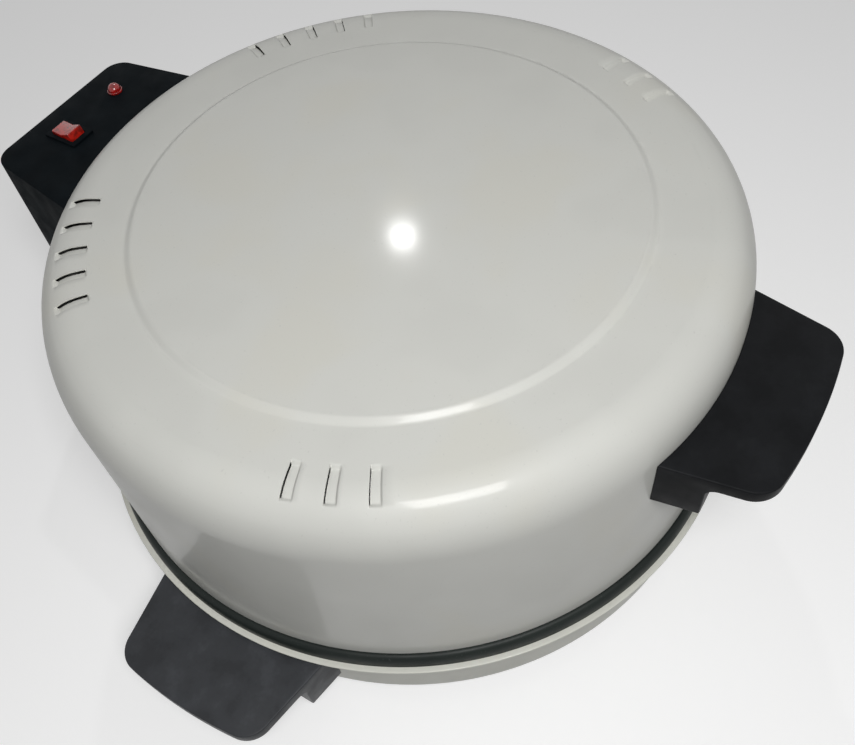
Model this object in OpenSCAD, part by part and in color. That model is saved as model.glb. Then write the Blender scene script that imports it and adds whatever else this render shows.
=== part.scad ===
// Round countertop pizza and flat bread maker with a tall hinged lid.
// The front handle is towards -Y, the hinge and the rear housings are towards +Y, the side
// handles are along X, and the feet stand on Z = 0. All lengths are in millimetres.

/* [Lid] */
// Outer radius of the lid's upright wall
lid_r = 200; // [190:1:210]
// Height of the lid's wall, from its lower edge up to the crease under the shoulder
lid_wall_h = 115.5; // [100:0.5:130]
// Height of the rounded shoulder above the crease
shoulder_h = 32; // [26:1:38]
// Width of the rounded shoulder, inwards from the wall
shoulder_w = 28; // [24:1:32]
// Fullness of the shoulder: 2 is an ellipse, more is squarer
shoulder_n = 2.2; // [2:0.1:2.6]
// Distance from the lid's wall in to the raised disc on its top
disc_in = 58.5; // [55:0.5:75]
// Height of the raised disc
disc_h = 3; // [1.5:0.5:5]
// Width of the sloping band round the raised disc
disc_band = 5.5; // [4:0.5:8]
// Thickness of the lid's steel sheet
lid_t = 1; // [0.8:0.1:1.4]

/* [Lid vents] */
// Number of louvres in each rear group
rear_vents = 5; // [3:1:6]
// Number of louvres in each front group
front_vents = 3; // [2:1:4]
// Angle from the X axis back to the middle of a rear group
rear_vent_angle = 50.5; // [46:0.5:56]
// Angle from the X axis forward to the middle of a front group
front_vent_angle = 25.5; // [20:0.5:32]
// Angle from one louvre to the next
vent_pitch = 6.3; // [4.5:0.1:7]
// Distance from the lid's wall in to a louvre's outer end
vent_inset = 14; // [11:0.5:15]
// Length of a louvre
vent_l = 20; // [14:0.5:22]
// Angle that a louvre's flap covers
flap_angle = 1.9; // [1.8:0.1:2.8]
// How far a flap is pressed in below the shoulder
flap_depth = 2.4; // [1.8:0.1:2.8]
// Angle of the slit between a flap and the sheet beside it
slit_angle = 0.15; // [0.1:0.05:0.3]

/* [Base] */
// How far the base's wall stands in from the lid's wall
base_inset = 1; // [0:0.5:3]
// Height of the base shell, from its underside to the top of its lip
base_h = 59.5; // [54:0.5:66]
// Radius of the base shell's lower edge
base_corner = 14; // [10:1:16]
// Thickness of the base's steel sheet
base_t = 1; // [0.8:0.1:1.4]
// How far the base's lip stands out from the lid's wall
lip_over = 7.8; // [6.5:0.1:9]
// Thickness of the base's lip
lip_t = 1.5; // [1.2:0.1:2]

/* [Pan] */
// Depth of the pan's floor below the base's lip
pan_depth = 27; // [24:0.5:28]
// Height of the pan's rolled rim above the lip
rim_h = 9.2; // [8:0.1:11]
// How far the pan's rim stands out from the lid's wall
rim_over = 4.3; // [3.5:0.1:5]
// Thickness of the pan's sheet
pan_t = 1.5; // [1:0.1:1.8]
// Distance from the lid's wall in to the pan's flat floor
pan_slope = 25; // [22:1:35]

/* [Feet] */
// Height of a foot
foot_h = 9.5; // [8:0.5:14]
// Radius of a foot where it meets the base
foot_r = 15; // [12:0.5:18]
// Distance from the lid's wall in to the middle of a foot
foot_in = 50; // [35:1:70]

/* [Handles] */
// Distance from the lid's wall out to the lid handle's outer edge
front_depth = 47; // [38:0.5:55]
// Half width of the lid handle at its outer edge
front_half = 52.5; // [44:0.5:58]
// Distance from the lid's wall out to a side handle's outer edge
side_depth = 56.5; // [45:0.5:58]
// Half width of a side handle at its outer edge
side_half = 48.5; // [38:0.5:52]
// Angle by which a handle's sides spread towards the drum
handle_flare = 10.2; // [8:0.2:16]
// Radius of the bow of a handle's outer edge
handle_bow = 300; // [250:10:500]
// Radius of a handle's outer corners
handle_corner = 16; // [10:1:22]
// Angle by which the side handles are turned towards the front
side_turn = 1; // [0:0.5:3]
// Thickness of a handle's plate
handle_t = 8.5; // [7:0.5:10]
// Depth of a handle's root block, outwards from the drum
root_d = 14; // [14:0.5:20]
// Height of a handle's root block
root_h = 33; // [30:0.5:36]
// Radius of the fillet between plate and root block
root_fillet = 6; // [3:0.5:8]
// Drop from the lid's crease to the top of the lid handle
front_drop = 1; // [0:0.5:4]
// Drop from the underside of the lip to the top of a side handle
side_drop = 4; // [2:0.5:6]

/* [Rear housings] */
// Distance from the lid's wall out to the rear housings' outer face
rear_depth = 78; // [78:0.5:90]
// Half width of the rear housings at their outer face
rear_half = 59; // [54:0.5:64]
// Angle by which the housings' sides spread towards the drum
rear_flare = 8.6; // [8:0.2:14]
// Radius of the housings' outer corners
rear_corner = 14; // [10:1:16]
// Wall thickness of the housings
housing_t = 3; // [2.4:0.2:3.6]
// Thickness of the housings' bottom covers
cover_t = 2.5; // [2:0.1:3]
// Height of the lower housing's underside above the table
lower_housing_z = 20; // [15:0.5:22]
// Gap between the upper and the lower housing
parting_gap = 1; // [0.8:0.1:2]

/* [Hinge] */
// Distance from the outer face of the housings in to the hinge pin
pin_back = 12; // [11:0.5:14]
// Height of the hinge pin above the lower housing's top face
pin_rise = 9.2; // [8:0.2:11]
// Radius of the hinge pin
pin_r = 3; // [2.5:0.1:3.5]
// Radius of the lower housing's hinge barrel
barrel_r = 12; // [10.5:0.1:12]
// Thickness of the steel hinge brackets
bracket_t = 2.5; // [2:0.1:3]
// Distance from the middle to a lid bracket arm
arm_x = 26; // [22:0.5:30]
// Thickness of the washer between two arms
washer_t = 2.4; // [1.6:0.1:3]
// Radius of an arm's round end
arm_r = 8.5; // [7:0.1:9]

/* [Controls] */
// Sideways place of the switch
switch_x = -17; // [-24:0.5:-14]
// Distance from the housing's outer face in to the switch
switch_back = 29; // [26:0.5:34]
// Length of the switch's bezel
bezel_l = 27; // [25:0.5:30]
// Width of the switch's bezel
bezel_w = 18; // [17:0.5:20]
// Tilt of the rocker to either side
rocker_tilt = 9; // [6:0.5:10]
// Sideways place of the indicator lamp
lamp_x = 31.5; // [28:0.5:36]
// Distance from the housing's outer face in to the lamp
lamp_back = 25; // [20:0.5:28]
// Radius of the lamp's dome
lamp_r = 4.6; // [3.5:0.1:5.5]

/* [Heating] */
// Radius of an element's tube
tube_r = 3.3; // [2.8:0.1:3.8]
// Distance from the lid's wall in to an element's outer loop
loop_inset = 60; // [50:1:70]
// Distance from an element's outer loop in to its inner loop
loop_step = 45; // [40:1:55]
// Angle from the front to the turn between the loops
loop_turn = 16; // [15:0.5:20]
// Distance from the middle to an element's leg
leg_x = 12; // [10:0.5:14]
// Height of the lower element above the base's underside
lower_loop_h = 20.5; // [19.5:0.5:22]
// Drop from the lid's crease to the upper element
upper_loop_drop = 16; // [14:0.5:20]
// Thickness of the reflectors' sheet
reflector_t = 0.8; // [0.6:0.1:1.2]
// Height of the base reflector's floor above the base's underside
reflector_h = 10.5; // [9.5:0.5:11]
// Height of the lid reflector's plate above the crease
lid_reflector_h = 2; // [0:0.5:8]

/* [Cord inlet] */
// Radius of the bore for the mains cord
inlet_r = 3.7; // [3:0.1:4.5]
// Sideways place of the inlet
inlet_x = 40; // [38:0.5:41]
// Thickness of the inlet's outer flange
inlet_flange = 2; // [1.5:0.1:3]

/* [Fits] */
// Gap between a piece and the curved wall it is fixed to
seat_gap = 0.2; // [0.1:0.05:0.3]
// Gap between the lid's edge and the pan's rim
lid_gap = 0.3; // [0.2:0.05:0.5]
// Radial clearance of the hinge pin and the switch pivot
pivot_fit = 0.06; // [0.03:0.01:0.09]
// Gap round the pieces that drop into a housing
drop_fit = 0.2; // [0.1:0.05:0.3]

/* [Hidden] */
$fn = 72;
corner_steps = 6;
bow_steps = 8;
shoulder_steps = 10;
vent_steps = 6;
// Angle that the closed side of a louvre takes up
flap_side = 0.4;
// Swelling of a tube or a wire where two stretches of it join
joint_bead = 1.06;

// Heights
z_floor = foot_h;
z_lip = z_floor + base_h;
z_rim = z_lip + rim_h;
z_edge = z_rim + lid_gap;
z_crease = z_edge + lid_wall_h;
z_shoulder = z_crease + shoulder_h;
z_top = z_shoulder + disc_h;
z_pan = z_lip - pan_depth;
z_front_handle = z_crease - front_drop;
z_side_handle = z_lip - lip_t - side_drop;
z_lower_top = z_lip + 0.8;
z_upper_low = z_lower_top + parting_gap;
z_pin = z_lower_top + pin_rise;
z_lower_loop = z_floor + lower_loop_h;
z_upper_loop = z_crease - upper_loop_drop;
z_base_reflector = z_floor + reflector_h;
z_lid_reflector = z_crease + lid_reflector_h;
z_switch_pivot = z_crease - 2;

// Radii and places from the drum's axis
base_r = lid_r - base_inset;
base_in = base_r - base_t;
lid_in = lid_r - lid_t;
lip_r = lid_r + lip_over;
rim_r = lid_r + rim_over;
disc_r = lid_r - disc_in;
pan_floor_r = lid_r - pan_slope;
foot_ring_r = lid_r - foot_in;
front_reach = lid_r + front_depth;
side_reach = lid_r + side_depth;
side_angles = [90 + side_turn, -90 - side_turn];
rear_reach = lid_r + rear_depth;
loop_out = lid_r - loop_inset;
loop_in = loop_out - loop_step;
y_pin = rear_reach - pin_back;
y_switch = rear_reach - switch_back;
y_lamp = rear_reach - lamp_back;
leg_out = 14;
leg_end = lid_r + leg_out;
stud_ring = (loop_out + loop_in) / 2;

// The drum's axis lies in front of the origin, which is the middle of the whole footprint
drum_y = (front_reach - rear_reach - inlet_flange) / 2;

// Screws
screw_r = 1.9;
screw_hole = screw_r + 0.1;
head_r = 3.6;
head_h = 2.2;
boss_r = 5;
screw_depth = 13;
boss_l = screw_depth + 6;

// Hinge
tunnel = barrel_r + 1.5;
arm_in = arm_x - bracket_t / 2;
arm_out = arm_x + bracket_t / 2;
base_arm_in = arm_out + washer_t + 0.1;
base_arm_out = base_arm_in + bracket_t;
pin_bore = pin_r + pivot_fit;
pin_half = rear_half - 1;
cap_r = 6;

// Housings
rim_clear = 1.2;
rear_in = lid_r * 0.8;
// Distance from the drum's axis to the outer face of a side wall
side_face = (rear_half + rear_reach * tan(rear_flare)) * cos(rear_flare);
// How far a boss runs into the side wall
boss_sink = 2;
boss_angle = asin((side_face - housing_t - boss_r + boss_sink) / (lid_r + boss_l / 2)) - rear_flare;
post_out = 35;
post_y = lid_r + post_out;
// Gap between the heads of the cover screws and the housing's wall
head_gap = 0.9;
post_x = rear_half + (rear_reach - post_y) * tan(rear_flare) - housing_t / cos(rear_flare)
    - head_r - head_gap;
post_h = 24;
post_drill = post_h - 6;
cover_screw_l = post_h - 8;
pad_h = 2;
z_cover_tunnel = z_pin + tunnel;

painted = [0.80, 0.79, 0.76];
black_plastic = [0.10, 0.10, 0.11];
coated = [0.07, 0.07, 0.07];
bright_sheet = [0.75, 0.76, 0.78];
steel = [0.62, 0.63, 0.65];
element_steel = [0.35, 0.33, 0.31];
rubber = [0.13, 0.13, 0.13];
ceramic = [0.90, 0.87, 0.80];
red_lens = [0.75, 0.06, 0.04];

// ---- Helpers ----

function arc(c, r, a0, a1, n) =
    [for (i = [0:n]) let (a = a0 + (a1 - a0) * i / n) [c[0] + r * cos(a), c[1] + r * sin(a)]];

function reversed(list) = [for (i = [len(list) - 1:-1:0]) list[i]];

// Plan outline that spreads towards the drum: flat outer edge, rounded outer corners
function flared(reach, half, flare, corner, y_in) =
    let (xc = half + corner * tan(flare) - corner / cos(flare),
         half_in = half + (reach - y_in) * tan(flare))
    concat([[-half_in, y_in], [half_in, y_in]],
           arc([xc, reach - corner], corner, flare, 90, corner_steps),
           arc([-xc, reach - corner], corner, 90, 180 - flare, corner_steps));

// Plan outline that spreads towards the drum: outer edge bowed to radius bow, rounded corners
function bowed(reach, half, flare, bow, corner, y_in) =
    let (turn = asin((half * cos(flare) - corner + bow * sin(flare)) / (bow - corner)) - flare,
         xc = (bow - corner) * sin(turn),
         yc = reach - bow + (bow - corner) * cos(turn),
         half_in = half + (reach - y_in) * tan(flare))
    concat([[-half_in, y_in], [half_in, y_in]],
           arc([xc, yc], corner, flare, 90 - turn, corner_steps),
           [for (i = [1:bow_steps - 1]) let (a = 90 - turn + 2 * turn * i / bow_steps)
               [bow * cos(a), reach - bow + bow * sin(a)]],
           arc([-xc, yc], corner, 90 + turn, 180 - flare, corner_steps));

// Upright line of the shoulder, drawn off millimetres inside its outer face
function shoulder_line(off) =
    [for (i = [0:shoulder_steps]) let (a = 90 * i / shoulder_steps)
        [lid_r - shoulder_w + (shoulder_w - off) * pow(sin(a), 2 / shoulder_n),
         z_crease + (shoulder_h - off) * pow(cos(a), 2 / shoulder_n)]];

function lid_line(off) = concat(
    [[0, z_top - off], [disc_r, z_top - off], [disc_r + disc_band, z_shoulder - off]],
    shoulder_line(off), [[lid_r - off, z_edge]]);

// Height of the shoulder's outer face at radius r
function shoulder_z(r) = let (t = max(0, (r - lid_r + shoulder_w) / shoulder_w))
    z_crease + shoulder_h * pow(1 - pow(t, shoulder_n), 1 / shoulder_n);

// Point that lies out of the shoulder's face by rise, at radius r
function over_shoulder(r, rise) =
    let (slope = shoulder_z(r + 0.5) - shoulder_z(r - 0.5), n = sqrt(1 + slope * slope))
    [r - rise * slope / n, shoulder_z(r) + rise / n];

module at_drum() {
    translate([0, drum_y, 0]) children();
}

// Places children on a ring, looking outwards along +Y, at the given angles
module round_at(angles) {
    for (a = angles) {
        rotate([0, 0, a]) children();
    }
}

// A stretch of torus: part of a round tube bent about a vertical axis
module tube_arc(c, r, a0, a1, tube) {
    translate(c) rotate([0, 0, a0]) rotate_extrude(angle = a1 - a0) translate([r, 0]) circle(tube);
}

// Round wire through the given points
module wire(points, r) {
    for (i = [0:len(points) - 2]) {
        d = points[i + 1] - points[i];
        l = norm(d);
        translate(points[i]) rotate([0, acos(d[2] / l), atan2(d[1], d[0])]) cylinder(h = l, r = r, $fn = 32);
    }
    for (i = [1:1:len(points) - 2]) {
        translate(points[i]) sphere(r * joint_bead, $fn = 32);
    }
}

// A screw along +Y: its head's seat is at y = 0 and its shank reaches to y = depth
module screw_out(depth) {
    rotate([-90, 0, 0]) cylinder(h = depth, r = screw_r, $fn = 32);
    rotate([90, 0, 0]) cylinder(h = head_h, r = head_r, $fn = 32);
}

// A screw up along +Z, with its head's seat at z = 0
module screw_up(depth) {
    cylinder(h = depth, r = screw_r, $fn = 32);
    translate([0, 0, -head_h]) cylinder(h = head_h, r = head_r, $fn = 32);
}

module drill_out(r, y0, y1) {
    translate([0, y0, 0]) rotate([-90, 0, 0]) cylinder(h = y1 - y0, r = r, $fn = 48);
}

// ---- Fixing points shared by walls, bosses and screws ----

handle_screw_angles = [-9, 9];
front_screw_h = 11;
side_screw_h = 13;
z_front_screw = z_front_handle - root_h + front_screw_h;
z_side_screw = z_side_handle - root_h + side_screw_h;
upper_screw_low = 30;
upper_screw_drop = 22;
upper_screw_zs = [z_edge + upper_screw_low, z_crease - upper_screw_drop];
lower_screw_low = 36;
lower_screw_drop = 14;
lower_screw_zs = [z_lip - lower_screw_low, z_lip - lower_screw_drop];
bracket_rivet_angles = [-5, 5];
rivet_inset = 6;
lid_plate_rise = 24;
lid_plate_h = 32;
lid_plate_z0 = z_edge + lid_plate_rise;
lid_plate_z1 = lid_plate_z0 + lid_plate_h;
base_plate_drop = 12;
base_plate_z0 = z_lower_loop + 1;
base_plate_z1 = z_lip - base_plate_drop;
lid_rivet_zs = [lid_plate_z0 + rivet_inset, lid_plate_z1 - rivet_inset];
base_rivet_zs = [base_plate_z0 + rivet_inset, base_plate_z1 - rivet_inset];
arm_root = 12;
lid_plate_over = 8;
base_plate_over = 6;

module lid_wall_holes() {
    rotate([0, 0, 180]) round_at(handle_screw_angles) translate([0, 0, z_front_screw])
        drill_out(screw_hole, lid_in - 5, lid_r + 5);
    for (z = upper_screw_zs) {
        round_at([-boss_angle, boss_angle]) translate([0, 0, z])
            drill_out(screw_hole, lid_in - 5, lid_r + 5);
    }
    for (z = lid_rivet_zs) {
        round_at(bracket_rivet_angles) translate([0, 0, z])
            drill_out(screw_hole, lid_in - 5, lid_r + 5);
    }
    for (x = [-leg_x, leg_x]) {
        translate([x, 0, z_upper_loop]) drill_out(tube_r + 0.5, lid_in - 10, lid_r + 5);
    }
}

module base_wall_holes() {
    for (side = side_angles) {
        rotate([0, 0, side]) round_at(handle_screw_angles) translate([0, 0, z_side_screw])
            drill_out(screw_hole, base_in - 5, base_r + 5);
    }
    for (z = lower_screw_zs) {
        round_at([-boss_angle, boss_angle]) translate([0, 0, z])
            drill_out(screw_hole, base_in - 5, base_r + 5);
    }
    for (z = base_rivet_zs) {
        round_at(bracket_rivet_angles) translate([0, 0, z])
            drill_out(screw_hole, base_in - 5, base_r + 5);
    }
    for (x = [-leg_x, leg_x]) {
        translate([x, 0, z_lower_loop]) drill_out(tube_r + 0.5, base_in - 10, base_r + 5);
    }
    translate([0, 0, z_lead_hole]) drill_out(lead_hole_r, base_in - 10, base_r + 5);
}

// ---- Base ----

module base_shell() color(painted) at_drum() difference() {
    rotate_extrude() polygon(concat(
        [[0, z_floor]],
        arc([base_r - base_corner, z_floor + base_corner], base_corner, -90, 0, corner_steps),
        [[base_r, z_lip - lip_t], [lip_r, z_lip - lip_t], [lip_r, z_lip], [base_in, z_lip]],
        arc([base_r - base_corner, z_floor + base_corner], base_corner - base_t, 0, -90,
            corner_steps),
        [[0, z_floor + base_t]]));
    base_wall_holes();
    round_at(foot_angles) translate([0, foot_ring_r, z_floor - 1]) cylinder(h = 4, r = screw_hole);
}

reflector_wall_r = lid_r - 8;
reflector_floor_r = lid_r - 30;
reflector_knee = 18;
reflector_top_gap = 5;

module base_reflector() color(bright_sheet) at_drum() difference() {
    rotate_extrude() polygon([
        [0, z_base_reflector],
        [reflector_floor_r, z_base_reflector],
        [reflector_wall_r, z_base_reflector + reflector_knee],
        [reflector_wall_r, z_lip - reflector_top_gap],
        [reflector_wall_r - reflector_t, z_lip - reflector_top_gap],
        [reflector_wall_r - reflector_t, z_base_reflector + reflector_knee + 0.3],
        [reflector_floor_r - 0.4, z_base_reflector + reflector_t],
        [0, z_base_reflector + reflector_t]]);
    for (x = [-leg_x, leg_x]) {
        translate([x, 0, z_lower_loop]) drill_out(tube_r + 1, reflector_floor_r - 5, lid_r);
    }
    round_at(stud_angles) translate([0, stud_ring, z_base_reflector - 1])
        cylinder(h = 4, r = stud_r + 0.2);
}

stud_angles = [45, 135, 225, 315];
stud_r = 2;
nut_h = 2.8;
nut_r = 4.2;

module reflector_standoffs() color(steel) at_drum() round_at(stud_angles) {
    translate([0, stud_ring, z_floor + base_t])
        cylinder(h = reflector_h - base_t, r = 5);
    translate([0, stud_ring, z_base_reflector])
        cylinder(h = reflector_t + nut_h + 0.6, r = stud_r);
}

module hex_nut(bore) {
    difference() {
        cylinder(h = nut_h, r = nut_r, $fn = 6);
        translate([0, 0, -1]) cylinder(h = nut_h + 2, r = bore, $fn = 32);
    }
}

module standoff_nuts() color(steel) at_drum() round_at(stud_angles)
    translate([0, stud_ring, z_base_reflector + reflector_t]) hex_nut(stud_r + 0.05);

// A flat heating element: two loops in one plane, joined at the front, with two legs to the rear
leg_bend = 10;
module element_loop(z) {
    phi = asin((leg_x + leg_bend) / (loop_out + leg_bend));
    turn_r = (loop_out - loop_in) / 2;
    translate([0, 0, z]) {
        tube_arc([0, 0, 0], loop_in, -90 + loop_turn, 270 - loop_turn, tube_r);
        for (side = [0, 1]) mirror([side, 0, 0]) {
            tube_arc([0, 0, 0], loop_out, -90 + loop_turn, 90 - phi, tube_r);
            tube_arc([stud_ring * sin(loop_turn), -stud_ring * cos(loop_turn), 0], turn_r,
                     90 + loop_turn, 270 + loop_turn, tube_r);
            tube_arc([(loop_out + leg_bend) * sin(phi), (loop_out + leg_bend) * cos(phi), 0], leg_bend,
                     180, 270 - phi, tube_r);
            for (p = [[loop_out * sin(loop_turn), -loop_out * cos(loop_turn)],
                      [loop_in * sin(loop_turn), -loop_in * cos(loop_turn)],
                      [loop_out * sin(phi), loop_out * cos(phi)],
                      [leg_x, (loop_out + leg_bend) * cos(phi)]]) {
                translate([p[0], p[1], 0]) sphere(tube_r * joint_bead);
            }
            translate([leg_x, (loop_out + leg_bend) * cos(phi), 0]) rotate([-90, 0, 0])
                cylinder(h = leg_end - (loop_out + leg_bend) * cos(phi), r = tube_r);
        }
    }
}

// Ceramic bead and contact pin at the end of each leg
bead_l = 6;
contact_l = 8;
module element_ends(z) {
    for (x = [-leg_x, leg_x]) {
        translate([x, leg_end, z]) rotate([-90, 0, 0]) {
            cylinder(h = bead_l, r = tube_r + 0.7);
            cylinder(h = bead_l + contact_l, r = 1.5);
        }
    }
}

// Saddle clips: each holds the outer loop and stands on a reflector, up for a lower loop
clip_angles = [20, 70, 160, 290, 340];
clip_w = 8;
module loop_clips(z, z_seat) {
    up = z_seat < z ? 1 : -1;
    gap = abs(z - z_seat);
    round_at(clip_angles) translate([0, loop_out, z]) mirror([0, 0, up > 0 ? 0 : 1]) difference() {
        union() {
            rotate([0, 90, 0]) cylinder(h = clip_w, r = tube_r + 1.4, center = true);
            translate([-clip_w / 2, -1, -gap]) cube([clip_w, 2, gap]);
            translate([-clip_w / 2, -5, -gap]) cube([clip_w, 10, 1]);
        }
        rotate([0, 90, 0]) cylinder(h = clip_w + 2, r = tube_r + 0.2, center = true);
    }
}

module lower_element() color(element_steel) at_drum() element_loop(z_lower_loop);
module lower_element_terminals() color(ceramic) at_drum() element_ends(z_lower_loop);
module lower_element_clips() color(steel) at_drum()
    loop_clips(z_lower_loop, z_base_reflector + reflector_t);

// Bimetal thermostat and thermal fuse, both held under the base reflector near the rear
thermostat_in = 50;
thermostat_y = lid_r - thermostat_in;
thermostat_r = 11;
thermostat_h = 6;
tab_l = 40;
tab_w = 10;
tab_t = 1;
module thermostat() color(ceramic) at_drum() translate([-leg_x, thermostat_y, z_base_reflector]) {
    translate([0, 0, -thermostat_h]) cylinder(h = thermostat_h, r = thermostat_r);
    translate([-tab_l / 2, -tab_w / 2, -tab_t]) cube([tab_l, tab_w, tab_t]);
}

fuse_x = 26;
fuse_r = 2;
fuse_l = 16;
module thermal_fuse() color(bright_sheet) at_drum()
    translate([fuse_x, thermostat_y - fuse_l / 2, z_base_reflector - fuse_r - 0.8]) {
        rotate([-90, 0, 0]) cylinder(h = fuse_l, r = fuse_r);
        translate([-fuse_r - 3, fuse_l / 2 - 3, fuse_r]) cube([2 * fuse_r + 6, 6, 0.8]);
        translate([-fuse_r, fuse_l / 2 - 3, 0]) cube([2 * fuse_r, 6, fuse_r + 0.4]);
    }

// The pan's sheet runs from its floor up the wall, over the rolled rim and down onto the lip
module baking_pan() color(coated) at_drum() rotate_extrude() polygon(concat(
    [[0, z_pan], [pan_floor_r, z_pan], [pan_floor_r + 11, z_pan + 11],
     [lid_r - 11, z_lip - 3], [lid_r - 5, z_lip + 1.5], [lid_r - 4.4, z_rim - 2.5],
     [lid_r - 2, z_rim], [lid_r + 0.4, z_rim]],
    [for (i = [1:corner_steps]) let (a = 90 - 90 * i / corner_steps)
        [lid_r + 0.4 + (rim_over - 0.4) * cos(a), z_lip + 3 + (rim_h - 3) * sin(a)]],
    [[rim_r, z_lip], [rim_r - pan_t, z_lip]],
    [for (i = [0:corner_steps]) let (a = 90 * i / corner_steps)
        [lid_r + 0.4 + (rim_over - 0.4 - pan_t) * cos(a), z_lip + 3 + (rim_h - 3 - pan_t) * sin(a)]],
    [[lid_r - 1.4, z_rim - pan_t], [lid_r - 4.4 + pan_t, z_rim - 3.2],
     [lid_r - 5 + pan_t, z_lip + 0.8], [lid_r - 11 + pan_t, z_lip - 3.8],
     [pan_floor_r + 11 + pan_t, z_pan + 10.4], [pan_floor_r + 0.6, z_pan - pan_t],
     [0, z_pan - pan_t]]));

// ---- Handles ----

// A handle that points along +Y: flared plate on top, root block against a drum of radius r
module handle(reach, half, top, r) {
    y_in = r - 25;
    y_block = r + root_d;
    difference() {
        intersection() {
            translate([0, 0, top - root_h]) linear_extrude(root_h)
                polygon(bowed(reach, half, handle_flare, handle_bow, handle_corner, y_in));
            rotate([90, 0, 90]) translate([0, 0, -reach]) linear_extrude(2 * reach)
                polygon(concat(
                    [[y_in - 1, top - root_h - 1], [y_block, top - root_h - 1]],
                    arc([y_block + root_fillet, top - handle_t - root_fillet], root_fillet,
                        180, 90, corner_steps),
                    [[reach + 1, top - handle_t], [reach + 1, top + 1], [y_in - 1, top + 1]]));
        }
        cylinder(h = 3 * top, r = r + seat_gap);
    }
}

module lid_handle() color(black_plastic) at_drum() rotate([0, 0, 180]) difference() {
    handle(front_reach, front_half, z_front_handle, lid_r);
    round_at(handle_screw_angles) translate([0, 0, z_front_screw])
        drill_out(screw_hole, lid_in, lid_r + screw_depth);
}

module lid_handle_screws() color(steel) at_drum() rotate([0, 0, 180]) round_at(handle_screw_angles)
    translate([0, lid_in - seat_gap, z_front_screw]) screw_out(screw_depth - 1);

module side_handle(side) {
    at_drum() rotate([0, 0, side]) difference() {
        handle(side_reach, side_half, z_side_handle, base_r);
        round_at(handle_screw_angles) translate([0, 0, z_side_screw])
            drill_out(screw_hole, base_in, base_r + screw_depth);
    }
}

module side_handle_left() color(black_plastic) side_handle(side_angles[0]);
module side_handle_right() color(black_plastic) side_handle(side_angles[1]);

module side_handle_screws() color(steel) at_drum() for (side = side_angles) {
    rotate([0, 0, side]) round_at(handle_screw_angles)
        translate([0, base_in - seat_gap, z_side_screw]) screw_out(screw_depth - 1);
}

// ---- Feet ----

foot_angles = [45, 135, 225, 315];
foot_bottom_r = foot_r - 2.5;
recess_r = 5;
recess_h = foot_h / 2;

module foot(angle) {
    at_drum() rotate([0, 0, angle]) translate([0, foot_ring_r, 0]) difference() {
        cylinder(h = foot_h, r1 = foot_bottom_r, r2 = foot_r);
        translate([0, 0, -1]) cylinder(h = recess_h + 1, r = recess_r);
        translate([0, 0, -1]) cylinder(h = foot_h + 2, r = screw_hole);
    }
}

module foot_rear_left() color(rubber) foot(45);
module foot_front_left() color(rubber) foot(135);
module foot_front_right() color(rubber) foot(225);
module foot_rear_right() color(rubber) foot(315);

module foot_screws() color(steel) at_drum() round_at(foot_angles)
    translate([0, foot_ring_r, recess_h]) screw_up(foot_h - recess_h + base_t + nut_h + 1);

module foot_nuts() color(steel) at_drum() round_at(foot_angles)
    translate([0, foot_ring_r, z_floor + base_t]) hex_nut(screw_r + 0.05);

// ---- Hinge ----

// Side view of a lid bracket arm: it runs straight down to the hinge pin
module straight_arm(r, z0, z1) {
    polygon([[r - arm_root, z0], [y_pin, z_pin - arm_r], [y_pin, z_pin + arm_r],
             [r - arm_root, z1]]);
    translate([y_pin, z_pin]) circle(arm_r);
}

// Side view of a base bracket arm: it runs level under the pin and then turns up to it
module cranked_arm(r, z0, z1) {
    translate([r - arm_root, z0]) square([y_pin + arm_r - r + arm_root, z1 - z0]);
    translate([y_pin - arm_r, z0]) square([2 * arm_r, z_pin - z0]);
    translate([y_pin, z_pin]) circle(arm_r);
}

// Steel bracket: a curved plate on a drum of radius r, with two arms back to the hinge pin.
// The children are the side view of an arm.
module hinge_bracket(r, x_in, x_out, z0, z1, plate_half) {
    r_in = r + seat_gap;
    difference() {
        union() {
            intersection() {
                translate([0, 0, z0]) cylinder(h = z1 - z0, r = r_in + bracket_t);
                translate([-plate_half, r * 0.7, z0]) cube([2 * plate_half, r, z1 - z0]);
            }
            for (side = [0, 1]) mirror([side, 0, 0]) translate([x_in, 0, 0]) rotate([90, 0, 90])
                linear_extrude(x_out - x_in) children();
        }
        cylinder(h = 3 * z_top, r = r_in);
        translate([-lid_r, y_pin, z_pin]) rotate([0, 90, 0]) cylinder(h = 2 * lid_r, r = pin_bore);
    }
}

module hinge_bracket_lid() color(steel) at_drum() difference() {
    hinge_bracket(lid_r, arm_in, arm_out, lid_plate_z0, lid_plate_z1, arm_out + lid_plate_over)
        straight_arm(lid_r, lid_plate_z0, lid_plate_z1);
    for (z = lid_rivet_zs) {
        round_at(bracket_rivet_angles) translate([0, 0, z])
            drill_out(screw_hole, lid_r - 5, lid_r + 8);
    }
}

module hinge_bracket_base() color(steel) at_drum() difference() {
    hinge_bracket(base_r, base_arm_in, base_arm_out, base_plate_z0, base_plate_z1,
                  base_arm_out + base_plate_over)
        cranked_arm(base_r, base_plate_z0, base_plate_z1);
    for (z = base_rivet_zs) {
        round_at(bracket_rivet_angles) translate([0, 0, z])
            drill_out(screw_hole, base_r - 5, base_r + 8);
    }
    for (x = [-leg_x, leg_x]) {
        translate([x, 0, z_lower_loop]) drill_out(tube_r + 0.5, base_r - 5, base_r + 8);
    }
    translate([0, 0, z_lead_hole]) drill_out(lead_hole_r, base_r - 5, base_r + 8);
}

// Rivets with a round head inside the drum and a set head on the bracket
module bracket_rivets(r_wall_in, r_plate_out, zs) {
    for (z = zs) {
        round_at(bracket_rivet_angles) translate([0, r_wall_in - 0.1, z]) {
            screw_out(r_plate_out - r_wall_in + 1.6);
            translate([0, r_plate_out - r_wall_in + 0.3, 0]) rotate([-90, 0, 0])
                cylinder(h = 1.3, r = 3, $fn = 32);
        }
    }
}

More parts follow.
